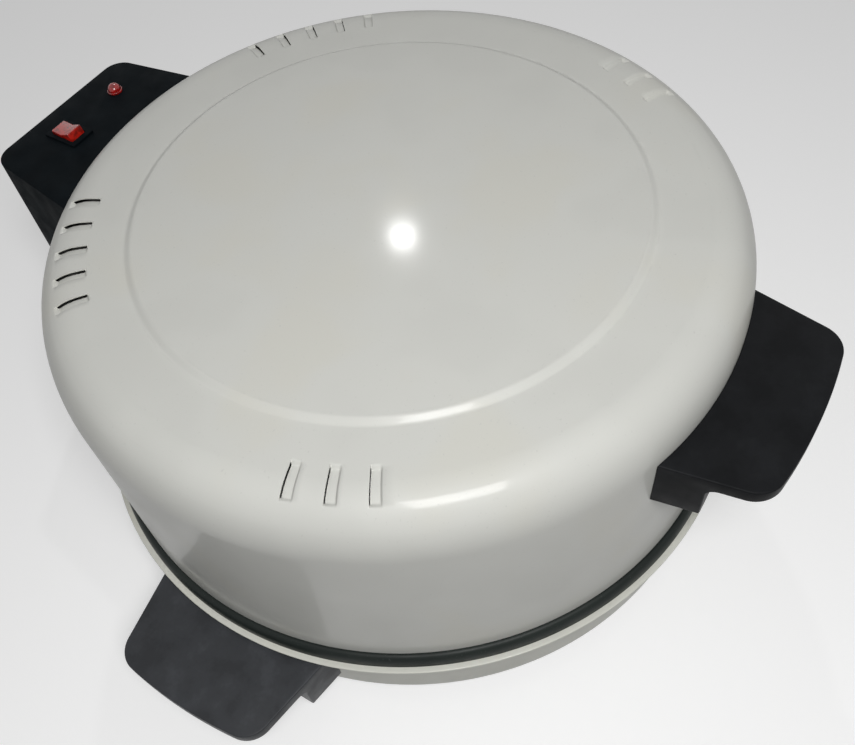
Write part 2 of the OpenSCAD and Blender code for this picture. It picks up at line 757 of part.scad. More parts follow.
module lid_bracket_rivets() color(steel) at_drum()
    bracket_rivets(lid_in, lid_r + seat_gap + bracket_t, lid_rivet_zs);
module base_bracket_rivets() color(steel) at_drum()
    bracket_rivets(base_in, base_r + seat_gap + bracket_t, base_rivet_zs);

module along_pin(x0, x1, r) {
    translate([x0, y_pin, z_pin]) rotate([0, 90, 0]) cylinder(h = x1 - x0, r = r);
}

module hinge_pin() color(steel) at_drum() along_pin(-pin_half, pin_half, pin_r);

cap_in = pin_half - 4;
module hinge_pin_caps() color(black_plastic) at_drum() for (side = [0, 1]) mirror([side, 0, 0])
    difference() {
        along_pin(cap_in + 0.1, pin_half + 1.5, cap_r);
        along_pin(cap_in - 1, pin_half + 0.05, pin_bore);
    }

washer_over = 4;
module hinge_washers() color(ceramic) at_drum() for (side = [0, 1]) mirror([side, 0, 0])
    difference() {
        along_pin(arm_out + 0.05, arm_out + washer_t + 0.05, pin_r + washer_over);
        along_pin(arm_out - 1, arm_out + washer_t + 1, pin_bore);
    }

// ---- Rear housings ----

// Plan of the rear housings, drawn in by inset all round
module rear_plan(inset) {
    polygon(flared(rear_reach - inset, rear_half + inset * tan(rear_flare) - inset / cos(rear_flare),
                   rear_flare, rear_corner - inset, rear_in));
}

module rear_prism(inset, z0, z1) {
    translate([0, 0, z0]) linear_extrude(z1 - z0) rear_plan(inset);
}

// Bosses for the screws that come through the drum's wall
module wall_bosses(r, zs) {
    for (z = zs) {
        round_at([-boss_angle, boss_angle]) translate([0, 0, z])
            drill_out(boss_r, r, r + boss_l);
    }
}

// Round posts beside the side walls, for the screws of a bottom cover
module cover_posts(z) {
    for (x = [-post_x, post_x]) {
        translate([x, post_y, z]) cylinder(h = post_h, r = boss_r);
    }
}

module cover_post_holes(z) {
    for (x = [-post_x, post_x]) {
        translate([x, post_y, z - 1]) cylinder(h = post_drill, r = screw_hole);
    }
}

// Pads on a cover, under the posts, with a recess that takes a whole screw head
module cover_pads(z) {
    for (x = [-post_x, post_x]) {
        translate([x, post_y, z]) cylinder(h = cover_t + pad_h, r = boss_r);
    }
}

module cover_recesses(z) {
    for (x = [-post_x, post_x]) {
        translate([x, post_y, z - 1]) cylinder(h = head_h + 1.2, r = head_r + 0.3);
        translate([x, post_y, z - 1]) cylinder(h = cover_t + pad_h + 2, r = screw_hole);
    }
}

module rear_housing() color(black_plastic) at_drum() difference() {
    union() {
        difference() {
            rear_prism(0, z_upper_low, z_crease);
            rear_prism(housing_t, z_upper_low - 1, z_crease - housing_t);
        }
        intersection() {
            rear_prism(housing_t / 2, z_upper_low, z_crease - housing_t / 2);
            union() {
                wall_bosses(lid_r, upper_screw_zs);
                cover_posts(z_upper_low + cover_t + pad_h + 0.1);
            }
        }
    }
    cylinder(h = 2 * z_top, r = lid_r + seat_gap);
    cylinder(h = z_edge + 2, r = lip_r + rim_clear);
    translate([-lid_r, y_pin - tunnel, 0]) cube([2 * lid_r, lid_r, z_cover_tunnel]);
    for (z = upper_screw_zs) {
        round_at([-boss_angle, boss_angle]) translate([0, 0, z])
            drill_out(screw_hole, lid_r - 5, lid_r + screw_depth);
    }
    cover_post_holes(z_upper_low + cover_t + pad_h);
    translate([switch_x - body_w / 2 - drop_fit, y_switch - body_l / 2 - drop_fit, z_crease - 10])
        cube([body_w + 2 * drop_fit, body_l + 2 * drop_fit, 20]);
    translate([lamp_x, y_lamp, z_crease - 10]) cylinder(h = 20, r = lamp_stem_r + 0.1);
}

module rear_housing_screws() color(steel) at_drum() for (z = upper_screw_zs) {
    round_at([-boss_angle, boss_angle]) translate([0, lid_in - seat_gap, z])
        screw_out(screw_depth - 1);
}

// Cover of the upper housing: it closes the bottom and steps up over the hinge barrel
module rear_housing_cover() color(black_plastic) at_drum() difference() {
    intersection() {
        rear_prism(housing_t + drop_fit, z_upper_low, z_crease);
        union() {
            translate([-lid_r, 0, 0]) rotate([90, 0, 90]) linear_extrude(2 * lid_r) polygon([
                [rear_in, z_upper_low],
                [y_pin - tunnel, z_upper_low],
                [y_pin - tunnel, z_cover_tunnel],
                [rear_reach, z_cover_tunnel],
                [rear_reach, z_cover_tunnel + cover_t],
                [y_pin - tunnel - cover_t, z_cover_tunnel + cover_t],
                [y_pin - tunnel - cover_t, z_upper_low + cover_t],
                [rear_in, z_upper_low + cover_t]]);
            cover_pads(z_upper_low);
        }
    }
    cylinder(h = 2 * z_top, r = lip_r + rim_clear + drop_fit);
    for (side = [0, 1]) mirror([side, 0, 0])
        translate([arm_in - 0.8, y_pin - tunnel - cover_t - 8, z_upper_low + 0.01])
            cube([bracket_t + 1.6, tunnel + cover_t + 8, 2 * tunnel + 14]);
    cover_recesses(z_upper_low);
}

module rear_cover_screws() color(steel) at_drum() for (x = [-post_x, post_x]) {
    translate([x, post_y, z_upper_low + head_h + 0.2]) screw_up(cover_screw_l);
}

module lower_rear_housing() color(black_plastic) at_drum() difference() {
    union() {
        difference() {
            rear_prism(0, lower_housing_z, z_lower_top);
            rear_prism(housing_t, lower_housing_z - 1, z_lower_top - housing_t);
        }
        intersection() {
            rear_prism(housing_t / 2, lower_housing_z, z_lower_top - housing_t / 2);
            union() {
                wall_bosses(base_r, lower_screw_zs);
                cover_posts(lower_housing_z + cover_t + pad_h + 0.1);
            }
        }
        intersection() {
            rear_prism(0, lower_housing_z, z_top);
            union() {
                along_pin(-lid_r, lid_r, barrel_r);
                translate([-lid_r, y_pin - barrel_r, z_lower_top - housing_t])
                    cube([2 * lid_r, 2 * barrel_r, z_pin - z_lower_top + housing_t]);
            }
        }
    }
    cylinder(h = 2 * z_top, r = base_r + seat_gap);
    translate([0, 0, z_lip - lip_t - 1]) cylinder(h = z_top, r = lip_r + 0.5);
    along_pin(-lid_r, lid_r, pin_bore + 0.04);
    for (side = [0, 1]) mirror([side, 0, 0]) {
        along_pin(cap_in, lid_r, cap_r + 0.1);
        translate([arm_in - 0.8, y_pin - 2 * barrel_r, z_pin - arm_r - 0.6])
            cube([base_arm_in - arm_in + 0.8, 4 * barrel_r, 3 * barrel_r]);
        translate([base_arm_in - 0.3, y_pin - arm_r - 1, z_lower_top - 12])
            cube([bracket_t + 0.6, 2 * arm_r + 2, 4 * barrel_r]);
    }
    for (z = lower_screw_zs) {
        round_at([-boss_angle, boss_angle]) translate([0, 0, z])
            drill_out(screw_hole, base_r - 5, base_r + screw_depth);
    }
    cover_post_holes(lower_housing_z + cover_t + pad_h);
    translate([inlet_x, 0, z_inlet]) drill_out(inlet_neck_r + 0.1, rear_reach - inlet_l, rear_reach + 5);
}

module lower_housing_screws() color(steel) at_drum() for (z = lower_screw_zs) {
    round_at([-boss_angle, boss_angle]) translate([0, base_in - seat_gap, z])
        screw_out(screw_depth - 1);
}

module lower_rear_cover() color(black_plastic) at_drum() difference() {
    intersection() {
        rear_prism(housing_t + drop_fit, lower_housing_z, z_lip);
        union() {
            rear_prism(0, lower_housing_z, lower_housing_z + cover_t);
            cover_pads(lower_housing_z);
        }
    }
    cylinder(h = z_top, r = base_r + 2 * seat_gap);
    cover_recesses(lower_housing_z);
}

module lower_cover_screws() color(steel) at_drum() for (x = [-post_x, post_x]) {
    translate([x, post_y, lower_housing_z + head_h + 0.2]) screw_up(cover_screw_l);
}

// ---- Mains inlet, terminal block and wiring ----

inlet_neck_r = inlet_r + 2.3;
inlet_l = 16;
inlet_rise = 22;
z_inlet = lower_housing_z + inlet_rise;
lead_hole_rise = 14;
z_lead_hole = z_lower_loop + lead_hole_rise;
lead_hole_r = 4.5;
lead_r = 1.4;
lead_bend = 5;

module cord_inlet() color(black_plastic) at_drum() translate([inlet_x, rear_reach, z_inlet])
    rotate([-90, 0, 0]) difference() {
        union() {
            translate([0, 0, -inlet_l]) cylinder(h = inlet_l + inlet_flange, r = inlet_neck_r);
            cylinder(h = inlet_flange, r = inlet_neck_r + 2.4);
            translate([0, 0, -housing_t - 2]) cylinder(h = 1.7, r = inlet_neck_r + 1);
        }
        translate([0, 0, -inlet_l - 1]) cylinder(h = inlet_l + inlet_flange + 2, r = inlet_r);
    }

block_l = 40;
block_w = 14;
block_h = 12;
block_out = 42;
y_terminals = lid_r + block_out;
module terminal_block() color(ceramic) at_drum()
    translate([-block_l / 2, y_terminals, lower_housing_z + cover_t]) difference() {
        cube([block_l, block_w, block_h]);
        for (i = [0:2]) {
            translate([block_l * (1 + 2 * i) / 6, block_w / 2, block_h - 3])
                cylinder(h = 4, r = 2.5);
        }
    }

earth_drop = 24;
z_earth = z_lip - earth_drop;
earth_gap = 2.5;
earth_angle = asin((base_arm_out + base_plate_over + nut_r + earth_gap) / base_r);
module earth_screw() color(steel) at_drum() rotate([0, 0, earth_angle])
    translate([0, base_r + seat_gap, z_earth]) {
        rotate([-90, 0, 0]) cylinder(h = 6, r = screw_r);
        rotate([-90, 0, 0]) cylinder(h = 3, r = nut_r, $fn = 6);
    }

contact_end = leg_end + bead_l + contact_l;
module base_leads() color(ceramic) at_drum() {
    top = lower_housing_z + cover_t + block_h;
    y_lead = y_terminals + block_w / 2;
    for (i = [-1, 1]) {
        x0 = i * leg_x;
        wire([[x0, contact_end + 0.1, z_lower_loop], [x0, contact_end + lead_bend, z_lower_loop],
              [i * block_l / 3, y_lead, top + 2 * lead_bend],
              [i * block_l / 3, y_lead, top + 0.05]], lead_r);
    }
    // The thermostat's lead climbs between the base reflector and the wall, and leaves by its hole
    y_climb = (reflector_wall_r + base_in) / 2;
    wire([[-leg_x, thermostat_y + thermostat_r + 0.6, z_base_reflector - thermostat_h / 2],
          [-leg_x, y_climb - lead_bend, z_base_reflector - thermostat_h / 2],
          [0, y_climb, z_lead_hole], [0, base_r + 2 * lead_bend, z_lead_hole],
          [0, y_lead, top + 3 * lead_bend], [0, y_lead, top + 0.05]], lead_r);
}

module lid_leads() color(ceramic) at_drum() {
    wire([[leg_x, contact_end + 0.1, z_upper_loop], [leg_x, contact_end + lead_bend, z_upper_loop],
          [lamp_x, y_lamp, lamp_low - 2 * lead_bend], [lamp_x, y_lamp, lamp_low - 0.1]], lead_r);
    wire([[-leg_x, contact_end + 0.1, z_upper_loop], [-leg_x, contact_end + lead_bend, z_upper_loop],
          [-leg_x, contact_end + lead_bend, body_low - blade_h],
          [switch_x, y_switch - blade_y, body_low - blade_h - lead_bend],
          [switch_x, y_switch - blade_y, body_low - blade_h - 0.1]], lead_r);
}

// ---- Switch and lamp ----

body_l = bezel_l - 3;
body_w = bezel_w - 2.5;
body_h = 22;
body_low = z_crease - body_h;
bezel_h = 1.6;
well_l = bezel_l - 7.6;
rocker_gap = 0.3;
rocker_w = bezel_w - 6.4;
trunnion_r = 1.2;
trunnion_l = 1.1;
blade_y = 5;
blade_w = 6.3;
blade_h = 8;

module switch_body() color(black_plastic) at_drum() translate([switch_x, y_switch, 0]) {
    difference() {
        union() {
            translate([-body_w / 2, -body_l / 2, body_low])
                cube([body_w, body_l, z_crease - body_low]);
            translate([-bezel_w / 2, -bezel_l / 2, z_crease]) cube([bezel_w, bezel_l, bezel_h]);
        }
        translate([-rocker_w / 2 - rocker_gap, -well_l / 2, z_crease - 11])
            cube([rocker_w + 2 * rocker_gap, well_l, 20]);
        translate([-rocker_w / 2 - trunnion_l - 0.3, 0, z_switch_pivot]) rotate([0, 90, 0])
            cylinder(h = rocker_w + 2 * trunnion_l + 0.6, r = trunnion_r + pivot_fit, $fn = 32);
    }
    for (y = [-blade_y, blade_y]) {
        translate([-blade_w / 2, y - 0.4, body_low - blade_h]) cube([blade_w, 0.8, blade_h]);
    }
}

// The rocker has two sloping facets, and rests with its inner end up
facet_slope = 12;
valley_h = 5.5;
end_top = well_l / 2 - 1.3;
end_low = well_l / 2 - 0.4;
module switch_rocker() color(red_lens) at_drum() translate([switch_x, y_switch, z_switch_pivot])
    rotate([-rocker_tilt, 0, 0]) {
        translate([-rocker_w / 2, 0, 0]) rotate([90, 0, 90]) linear_extrude(rocker_w) polygon([
            [-end_low, -1], [-6, -5], [6, -5], [end_low, -1],
            [end_top, valley_h + end_top * tan(facet_slope)], [0, valley_h],
            [-end_top, valley_h + end_top * tan(facet_slope)]]);
        translate([-rocker_w / 2 - trunnion_l, 0, 0]) rotate([0, 90, 0])
            cylinder(h = rocker_w + 2 * trunnion_l, r = trunnion_r, $fn = 32);
    }

lamp_stem_r = lamp_r - 0.6;
lamp_body_h = 18;
lamp_low = z_crease - lamp_body_h;
lamp_collar_h = 1.2;

module lamp_lens() color(red_lens) at_drum() translate([lamp_x, y_lamp, z_crease]) {
    cylinder(h = lamp_collar_h, r = lamp_r + 0.6);
    translate([0, 0, -housing_t - 1.5]) cylinder(h = housing_t + 1.5, r = lamp_stem_r);
    intersection() {
        translate([0, 0, lamp_collar_h]) sphere(lamp_r);
        cylinder(h = 20, r = 20);
    }
}

module lamp_body() color(black_plastic) at_drum() translate([lamp_x, y_lamp, lamp_low])
    difference() {
        cylinder(h = z_crease - housing_t - lamp_low - 0.05, r = lamp_r + 1);
        translate([0, 0, z_crease - housing_t - 1.6 - lamp_low]) cylinder(h = 5, r = lamp_stem_r + 0.05);
    }

// ---- Lid ----

function vent_group(middle, count) =
    [for (i = [0:count - 1]) middle + (i - (count - 1) / 2) * vent_pitch];

vent_angles = concat(
    vent_group(rear_vent_angle, rear_vents), vent_group(180 - rear_vent_angle, rear_vents),
    vent_group(180 + front_vent_angle, front_vents), vent_group(-front_vent_angle, front_vents));

vent_out = lid_r - vent_inset;
vent_in = vent_out - vent_l;

// Line that follows the shoulder from share s0 to share s1 of a louvre's length, off millimetres
// inside its outer face, and sinks by up to depth more in the middle of the louvre
function vent_line(s0, s1, off, depth) =
    [for (i = [0:vent_steps]) let (s = s0 + (s1 - s0) * i / vent_steps)
        over_shoulder(vent_in + vent_l * s, -off - depth * pow(sin(180 * s), 0.7))];

module sector(a0, a1) {
    rotate([0, 0, a0]) rotate_extrude(angle = a1 - a0) children();
}

// A louvre's pressed-in flap starts at angle a, beside its slit, and closes onto the sheet beyond
module louvre_flap(a) {
    sector(a, a + flap_angle) polygon(concat(
        vent_line(0, 1, 0.25 * lid_t, 0), reversed(vent_line(0, 1, 0.75 * lid_t, flap_depth))));
}

// The hollow over a flap, with the slit beside it
module louvre_hollow(a) {
    sector(a - slit_angle, a + flap_angle - flap_side) polygon(concat(
        vent_line(0.06, 0.94, -1, 0), reversed(vent_line(0.06, 0.94, 0, flap_depth))));
}

module lid_shell() color(painted) at_drum() difference() {
    union() {
        rotate_extrude() polygon(concat(lid_line(0), reversed(lid_line(lid_t))));
        for (a = vent_angles) {
            louvre_flap(a - flap_angle / 2);
        }
    }
    lid_wall_holes();
    for (a = vent_angles) {
        louvre_hollow(a - flap_angle / 2);
    }
}

lid_reflector_r = lid_r - 50;
lid_reflector_rim = lid_r - 32;
lid_reflector_drop = 12;

module lid_reflector() color(bright_sheet) at_drum() difference() {
    rotate_extrude() polygon([
        [0, z_lid_reflector],
        [lid_reflector_r, z_lid_reflector],
        [lid_reflector_rim, z_lid_reflector - lid_reflector_drop],
        [lid_reflector_rim + 3, z_lid_reflector - lid_reflector_drop],
        [lid_reflector_rim + 3, z_lid_reflector - lid_reflector_drop + reflector_t],
        [lid_reflector_rim + 0.4, z_lid_reflector - lid_reflector_drop + reflector_t],
        [lid_reflector_r + 0.4, z_lid_reflector + reflector_t],
        [0, z_lid_reflector + reflector_t]]);
    round_at(stud_angles) translate([0, stud_ring, z_lid_reflector - 1])
        cylinder(h = 4, r = stud_r + 0.2);
}

module reflector_studs() color(steel) at_drum() round_at(stud_angles) {
    translate([0, stud_ring, z_lid_reflector + reflector_t])
        cylinder(h = z_top - lid_t - z_lid_reflector - reflector_t, r = 4);
    translate([0, stud_ring, z_lid_reflector - nut_h - 0.6])
        cylinder(h = nut_h + 0.6 + reflector_t, r = stud_r);
}

module stud_nuts() color(steel) at_drum() round_at(stud_angles)
    translate([0, stud_ring, z_lid_reflector - nut_h]) hex_nut(stud_r + 0.05);

module upper_element() color(element_steel) at_drum() element_loop(z_upper_loop);
module upper_element_terminals() color(ceramic) at_drum() element_ends(z_upper_loop);
module upper_element_clips() color(steel) at_drum() loop_clips(z_upper_loop, z_lid_reflector);

// ---- Nodes ----

base_shell();
base_reflector();
reflector_standoffs();
standoff_nuts();
lower_element();
lower_element_terminals();
lower_element_clips();
thermostat();
thermal_fuse();
baking_pan();
side_handle_left();
side_handle_right();
side_handle_screws();
foot_front_left();
foot_front_right();
foot_rear_left();
foot_rear_right();
foot_screws();
foot_nuts();
lower_rear_housing();
lower_rear_cover();
lower_housing_screws();
lower_cover_screws();
cord_inlet();
terminal_block();
earth_screw();
base_leads();
hinge_bracket_base();
base_bracket_rivets();
hinge_pin();
hinge_pin_caps();
hinge_washers();
lid_shell();
lid_reflector();
reflector_studs();
stud_nuts();
upper_element();
upper_element_terminals();
upper_element_clips();
lid_handle();
lid_handle_screws();
rear_housing();
rear_housing_cover();
rear_housing_screws();
rear_cover_screws();
hinge_bracket_lid();
lid_bracket_rivets();
switch_body();
lamp_lens();
lamp_body();
lid_leads();
switch_rocker();
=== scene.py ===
"""Looks of a round countertop pizza and flat bread maker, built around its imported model.

Shapes are worked out in millimetres from the drum's axis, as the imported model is, and are
turned into metres as each mesh is made. The front handle is towards -Y, the hinge towards +Y.
"""
import math

import bmesh
import bpy
import numpy as np
from mathutils import Matrix, Vector

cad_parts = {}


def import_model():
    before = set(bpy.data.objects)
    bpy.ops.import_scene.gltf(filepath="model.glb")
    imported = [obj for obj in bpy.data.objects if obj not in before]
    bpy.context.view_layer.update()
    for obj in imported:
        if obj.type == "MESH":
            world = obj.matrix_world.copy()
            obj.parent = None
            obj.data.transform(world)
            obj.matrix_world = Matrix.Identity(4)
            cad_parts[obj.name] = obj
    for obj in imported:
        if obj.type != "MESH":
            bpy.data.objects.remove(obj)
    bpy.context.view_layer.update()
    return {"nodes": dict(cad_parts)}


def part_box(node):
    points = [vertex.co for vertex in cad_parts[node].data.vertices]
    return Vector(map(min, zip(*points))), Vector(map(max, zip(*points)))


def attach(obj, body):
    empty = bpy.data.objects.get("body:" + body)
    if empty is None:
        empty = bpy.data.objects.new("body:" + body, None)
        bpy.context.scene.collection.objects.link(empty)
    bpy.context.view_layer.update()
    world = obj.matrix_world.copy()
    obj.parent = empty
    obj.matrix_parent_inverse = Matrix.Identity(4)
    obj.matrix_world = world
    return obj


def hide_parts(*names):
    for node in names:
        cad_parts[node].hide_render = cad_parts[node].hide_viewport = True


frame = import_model()

MM = 0.001


def corners(node):
    """A node's lowest and highest corner in millimetres."""
    low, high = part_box(node)
    return low / MM, high / MM


# ---- Sizes taken from the frame ----

lid_low, lid_high = corners("lid_shell")
base_low, base_high = corners("base_shell")
pan_low, pan_high = corners("baking_pan")
drum_y = (lid_low.y + lid_high.y) / 2
lid_r = (lid_high.x - lid_low.x) / 2
z_edge = lid_low.z
z_top = lid_high.z
z_floor = base_low.z
z_lip = base_high.z
lip_r = (base_high.x - base_low.x) / 2
rim_r = (pan_high.x - pan_low.x) / 2
z_rim = pan_high.z
z_crease = corners("rear_housing")[1].z

# ---- Forms of the sheet metal ----

sheet_t = 1.0
shoulder_h = 32.0
shoulder_w = 28.0
shoulder_n = 2.2
disc_r = 141.5
disc_band = 5.5
z_shoulder = z_crease + shoulder_h
base_r = lid_r - 1.0
base_corner = 14.0
lip_t = 1.5
pan_t = 1.5
pan_floor_r = 175.0
z_pan = z_lip - 27.0

# ---- Meshes ----


def arc(cx, cy, r, a0, a1, n):
    """Points of an arc, with angles in degrees."""
    angles = np.radians(np.linspace(a0, a1, n + 1))
    return [(cx + r * math.cos(a), cy + r * math.sin(a)) for a in angles]


def circle(r, sides):
    """Points of a circle about the origin."""
    return arc(0, 0, r, 0, 360 - 360 / sides, sides - 1)


def mesh_of(name, verts, faces):
    """Mesh in metres, from points in millimetres given from the drum's axis."""
    shift = Vector((0, drum_y, 0))
    mesh = bpy.data.meshes.new(name)
    mesh.from_pydata([(Vector(v) + shift) * MM for v in verts], [], faces)
    return mesh


def weld(bm):
    """Joins points that coincide and turns all faces outwards."""
    bmesh.ops.remove_doubles(bm, verts=bm.verts, dist=0.00001)
    bmesh.ops.recalc_face_normals(bm, faces=bm.faces)


def bevel_sharp(bm, width, angle, segments):
    """Bevels the edges that are sharper than an angle in degrees, by width millimetres."""
    bmesh.ops.dissolve_limit(bm, angle_limit=math.radians(0.5), verts=bm.verts, edges=bm.edges)
    sharp = [e for e in bm.edges if len(e.link_faces) == 2
             and e.calc_face_angle(0.0) > math.radians(angle)]
    bmesh.ops.bevel(bm, geom=sharp, offset=width * MM, segments=segments, profile=0.5,
                    affect="EDGES", clamp_overlap=True)


def shade(mesh, angle=35.0):
    """Shades a mesh smooth, apart from edges sharper than an angle in degrees."""
    mesh.shade_smooth()
    mesh.set_sharp_from_angle(angle=math.radians(angle))


def make(name, verts, faces, material, body, smooth=35.0):
    """Piece from points in millimetres, given from the drum's axis."""
    return finish_mesh(name, mesh_of(name, verts, faces), material, body, smooth)


def finish_mesh(name, mesh, material, body, smooth=35.0, bevel=0.0):
    """Welds, bevels and shades a mesh, and hangs it on its body."""
    bm = bmesh.new()
    bm.from_mesh(mesh)
    weld(bm)
    if bevel:
        bevel_sharp(bm, bevel, smooth, 2)
    bm.to_mesh(mesh)
    bm.free()
    shade(mesh, smooth)
    mesh.materials.clear()
    mesh.materials.append(material)
    piece = bpy.data.objects.new(name, mesh)
    bpy.context.scene.collection.objects.link(piece)
    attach(piece, body)
    return piece


def stand_in(piece, slot, *nodes):
    """The piece stands for these nodes, which are hidden; the slot is not used."""
    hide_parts(*nodes)
    return piece


def revolve(profile, steps=288):
    """Points and faces of a profile of (radius, height) turned about the drum's axis."""
    n = len(profile)
    angles = np.linspace(0, 2 * math.pi, steps, endpoint=False)
    verts = [(r * math.cos(a), r * math.sin(a), z) for a in angles for r, z in profile]
    faces = []
    for i in range(steps):
        j = (i + 1) % steps
        for k in range(n):
            m = (k + 1) % n
            faces.append((i * n + k, j * n + k, j * n + m, i * n + m))
    return verts, faces


def prism(outline, z0, z1):
    """Points and faces of an outline of (x, y) raised from z0 to z1."""
    n = len(outline)
    verts = [(x, y, z) for z in (z0, z1) for x, y in outline]
    faces = [tuple(range(n))[::-1], tuple(range(n, 2 * n))]
    faces += [(k, (k + 1) % n, n + (k + 1) % n, n + k) for k in range(n)]
    return verts, faces


def tube(points, r, sides=20):
    """Points and faces of a round tube along a smooth line of points."""
    path = [Vector(p) for p in points]
    tangents = [(path[min(i + 1, len(path) - 1)] - path[max(i - 1, 0)]).normalized()
                for i in range(len(path))]
    side = tangents[0].orthogonal().normalized()
    verts = []
    for point, tangent in zip(path, tangents):
        side = (side - side.dot(tangent) * tangent).normalized()
        other = tangent.cross(side)
        for k in range(sides):
            a = 2 * math.pi * k / sides
            verts.append(point + r * (math.cos(a) * side + math.sin(a) * other))
    faces = [(i * sides + k, i * sides + (k + 1) % sides, (i + 1) * sides + (k + 1) % sides,
              (i + 1) * sides + k) for i in range(len(path) - 1) for k in range(sides)]
    last = (len(path) - 1) * sides
    faces += [tuple(range(sides))[::-1], tuple(range(last, last + sides))]
    return verts, faces


def cut(piece, tools, operation="DIFFERENCE"):
    """Cuts the tool meshes, given as (points, faces), out of a piece, or keeps what they share."""
    for index, (verts, faces) in enumerate(tools):
        mesh = mesh_of("tool", verts, faces)
        bm = bmesh.new()
        bm.from_mesh(mesh)
        weld(bm)
        bm.to_mesh(mesh)
        bm.free()
        tool = bpy.data.objects.new("tool", mesh)
        bpy.context.scene.collection.objects.link(tool)
        modifier = piece.modifiers.new(f"cut_{index}", "BOOLEAN")
        modifier.operation = operation
        modifier.solver = "EXACT"
        modifier.object = tool
        bpy.context.view_layer.update()
        shaped = bpy.data.meshes.new_from_object(
            piece.evaluated_get(bpy.context.evaluated_depsgraph_get()))
        piece.modifiers.clear()
        piece.data = shaped
        bpy.data.objects.remove(tool)
    return piece


def rounded(piece, width):
    """Rounds a piece's sharp edges by a bevel and shades it."""
    bm = bmesh.new()
    bm.from_mesh(piece.data)
    bmesh.ops.remove_doubles(bm, verts=bm.verts, dist=0.00001)
    bevel_sharp(bm, width, 30, 3)
    bm.to_mesh(piece.data)
    bm.free()
    shade(piece.data)
    return piece


def refined(node, body, material, bevel):
    """A copy of a node's mesh with its sharp edges rounded."""
    mesh = frame["nodes"][node].data.copy()
    mesh.name = node + "_finish"
    mesh.materials.clear()
    return finish_mesh(node + "_finish", mesh, material, body, bevel=bevel)


def turned(part, angle):
    """A mesh turned about the drum's axis, by an angle in degrees."""
    spin = Matrix.Rotation(math.radians(angle), 4, "Z")
    return [spin @ Vector(v) for v in part[0]], part[1]


def moved(part, offset):
    """A mesh shifted by an offset."""
    return [Vector(v) + Vector(offset) for v in part[0]], part[1]


# ---- Materials ----


class Paint:
    """Small helper that builds the node tree of one material."""

    def __init__(self, name, colour, roughness, metallic=0.0, **inputs):
        self.material = bpy.data.materials.new(name)
        self.material.use_nodes = True
        self.tree = self.material.node_tree
        self.shader = self.tree.nodes["Principled BSDF"]
        self.shader.inputs["Base Color"].default_value = (*colour, 1)
        self.shader.inputs["Roughness"].default_value = roughness
        self.shader.inputs["Metallic"].default_value = metallic
        for key, value in inputs.items():
            self.shader.inputs[key.replace("_", " ")].default_value = value
        self.where = self.add("ShaderNodeTexCoord").outputs["Object"]
        self.height = None

    def add(self, kind, **settings):
        node = self.tree.nodes.new(kind)
        for key, value in settings.items():
            setattr(node, key, value)
        return node

    def link(self, source, target):
        self.tree.links.new(source, target)

    def noise(self, size_mm, detail=3.0, rough=0.5, stretch=(1, 1, 1)):
        """Noise whose blotches are about size_mm across."""
        mapping = self.add("ShaderNodeMapping")
        mapping.inputs["Scale"].default_value = stretch
        self.link(self.where, mapping.inputs["Vector"])
        node = self.add("ShaderNodeTexNoise")
        node.inputs["Scale"].default_value = 1 / (size_mm * MM)
        node.inputs["Detail"].default_value = detail
        node.inputs["Roughness"].default_value = rough
        self.link(mapping.outputs["Vector"], node.inputs["Vector"])
        return node.outputs["Fac"]

    def ramp(self, factor, stops):
        """Colour ramp with stops of (position, colour)."""
        node = self.add("ShaderNodeValToRGB")
        ramp = node.color_ramp
        while len(ramp.elements) < len(stops):
            ramp.elements.new(0.5)
        for element, (position, colour) in zip(ramp.elements, stops):
            element.position = position
            element.color = (*colour, 1)
        ramp.interpolation = "EASE"
        self.link(factor, node.inputs["Fac"])
        return node.outputs["Color"]

    def span(self, factor, low, high, start=0.3, end=0.7):
        """Maps a factor's middle range to low ... high."""
        node = self.add("ShaderNodeMapRange")
        for key, value in (("From Min", start), ("From Max", end), ("To Min", low), ("To Max", high)):
            node.inputs[key].default_value = value
        self.link(factor, node.inputs["Value"])
        return node.outputs["Result"]

    def mix(self, factor, first, second, mode="MIX"):
        node = self.add("ShaderNodeMix", data_type="RGBA", blend_type=mode)
        for index, value in ((0, factor), (6, first), (7, second)):
            if isinstance(value, (int, float)):
                node.inputs[index].default_value = value
            elif isinstance(value, tuple):
                node.inputs[index].default_value = (*value, 1)
            else:
                self.link(value, node.inputs[index])
        return node.outputs[2]

    def colour(self, socket):
        self.link(socket, self.shader.inputs["Base Color"])

    def roughness(self, socket):
        self.link(socket, self.shader.inputs["Roughness"])

    def bump(self, factor, depth_mm, strength=1.0):
        """Adds relief of the given depth; later calls stack on earlier ones."""
        node = self.add("ShaderNodeBump")
        node.inputs["Strength"].default_value = strength
        node.inputs["Distance"].default_value = depth_mm * MM
        self.link(factor, node.inputs["Height"])
        if self.height is not None:
            self.link(self.height, node.inputs["Normal"])
        self.height = node.outputs["Normal"]
        self.link(self.height, self.shader.inputs["Normal"])


def enamel(name, colour):
    """Off-white stoved paint: faint mottling, orange peel and a few dull rubbed spots."""
    paint = Paint(name, colour, 0.24, Specular_IOR_Level=0.2, Coat_Weight=0.2, Coat_Roughness=0.10)
    dark = tuple(0.975 * c for c in colour)
    warm = (colour[0], colour[1] * 0.99, colour[2] * 0.965)
    broad = paint.ramp(paint.noise(70, 2), [(0.35, dark), (0.5, colour), (0.68, warm)])
    specks = paint.span(paint.noise(1.6, 2), 0.0, 1.0, 0.66, 0.80)
    paint.colour(paint.mix(specks, broad, tuple(0.90 * c for c in colour)))
    paint.roughness(paint.span(paint.noise(28, 4), 0.38, 0.50))
    paint.bump(paint.noise(45, 1), 0.06, 0.5)
    paint.bump(paint.noise(2.6, 2), 0.006, 0.8)
    return paint.material


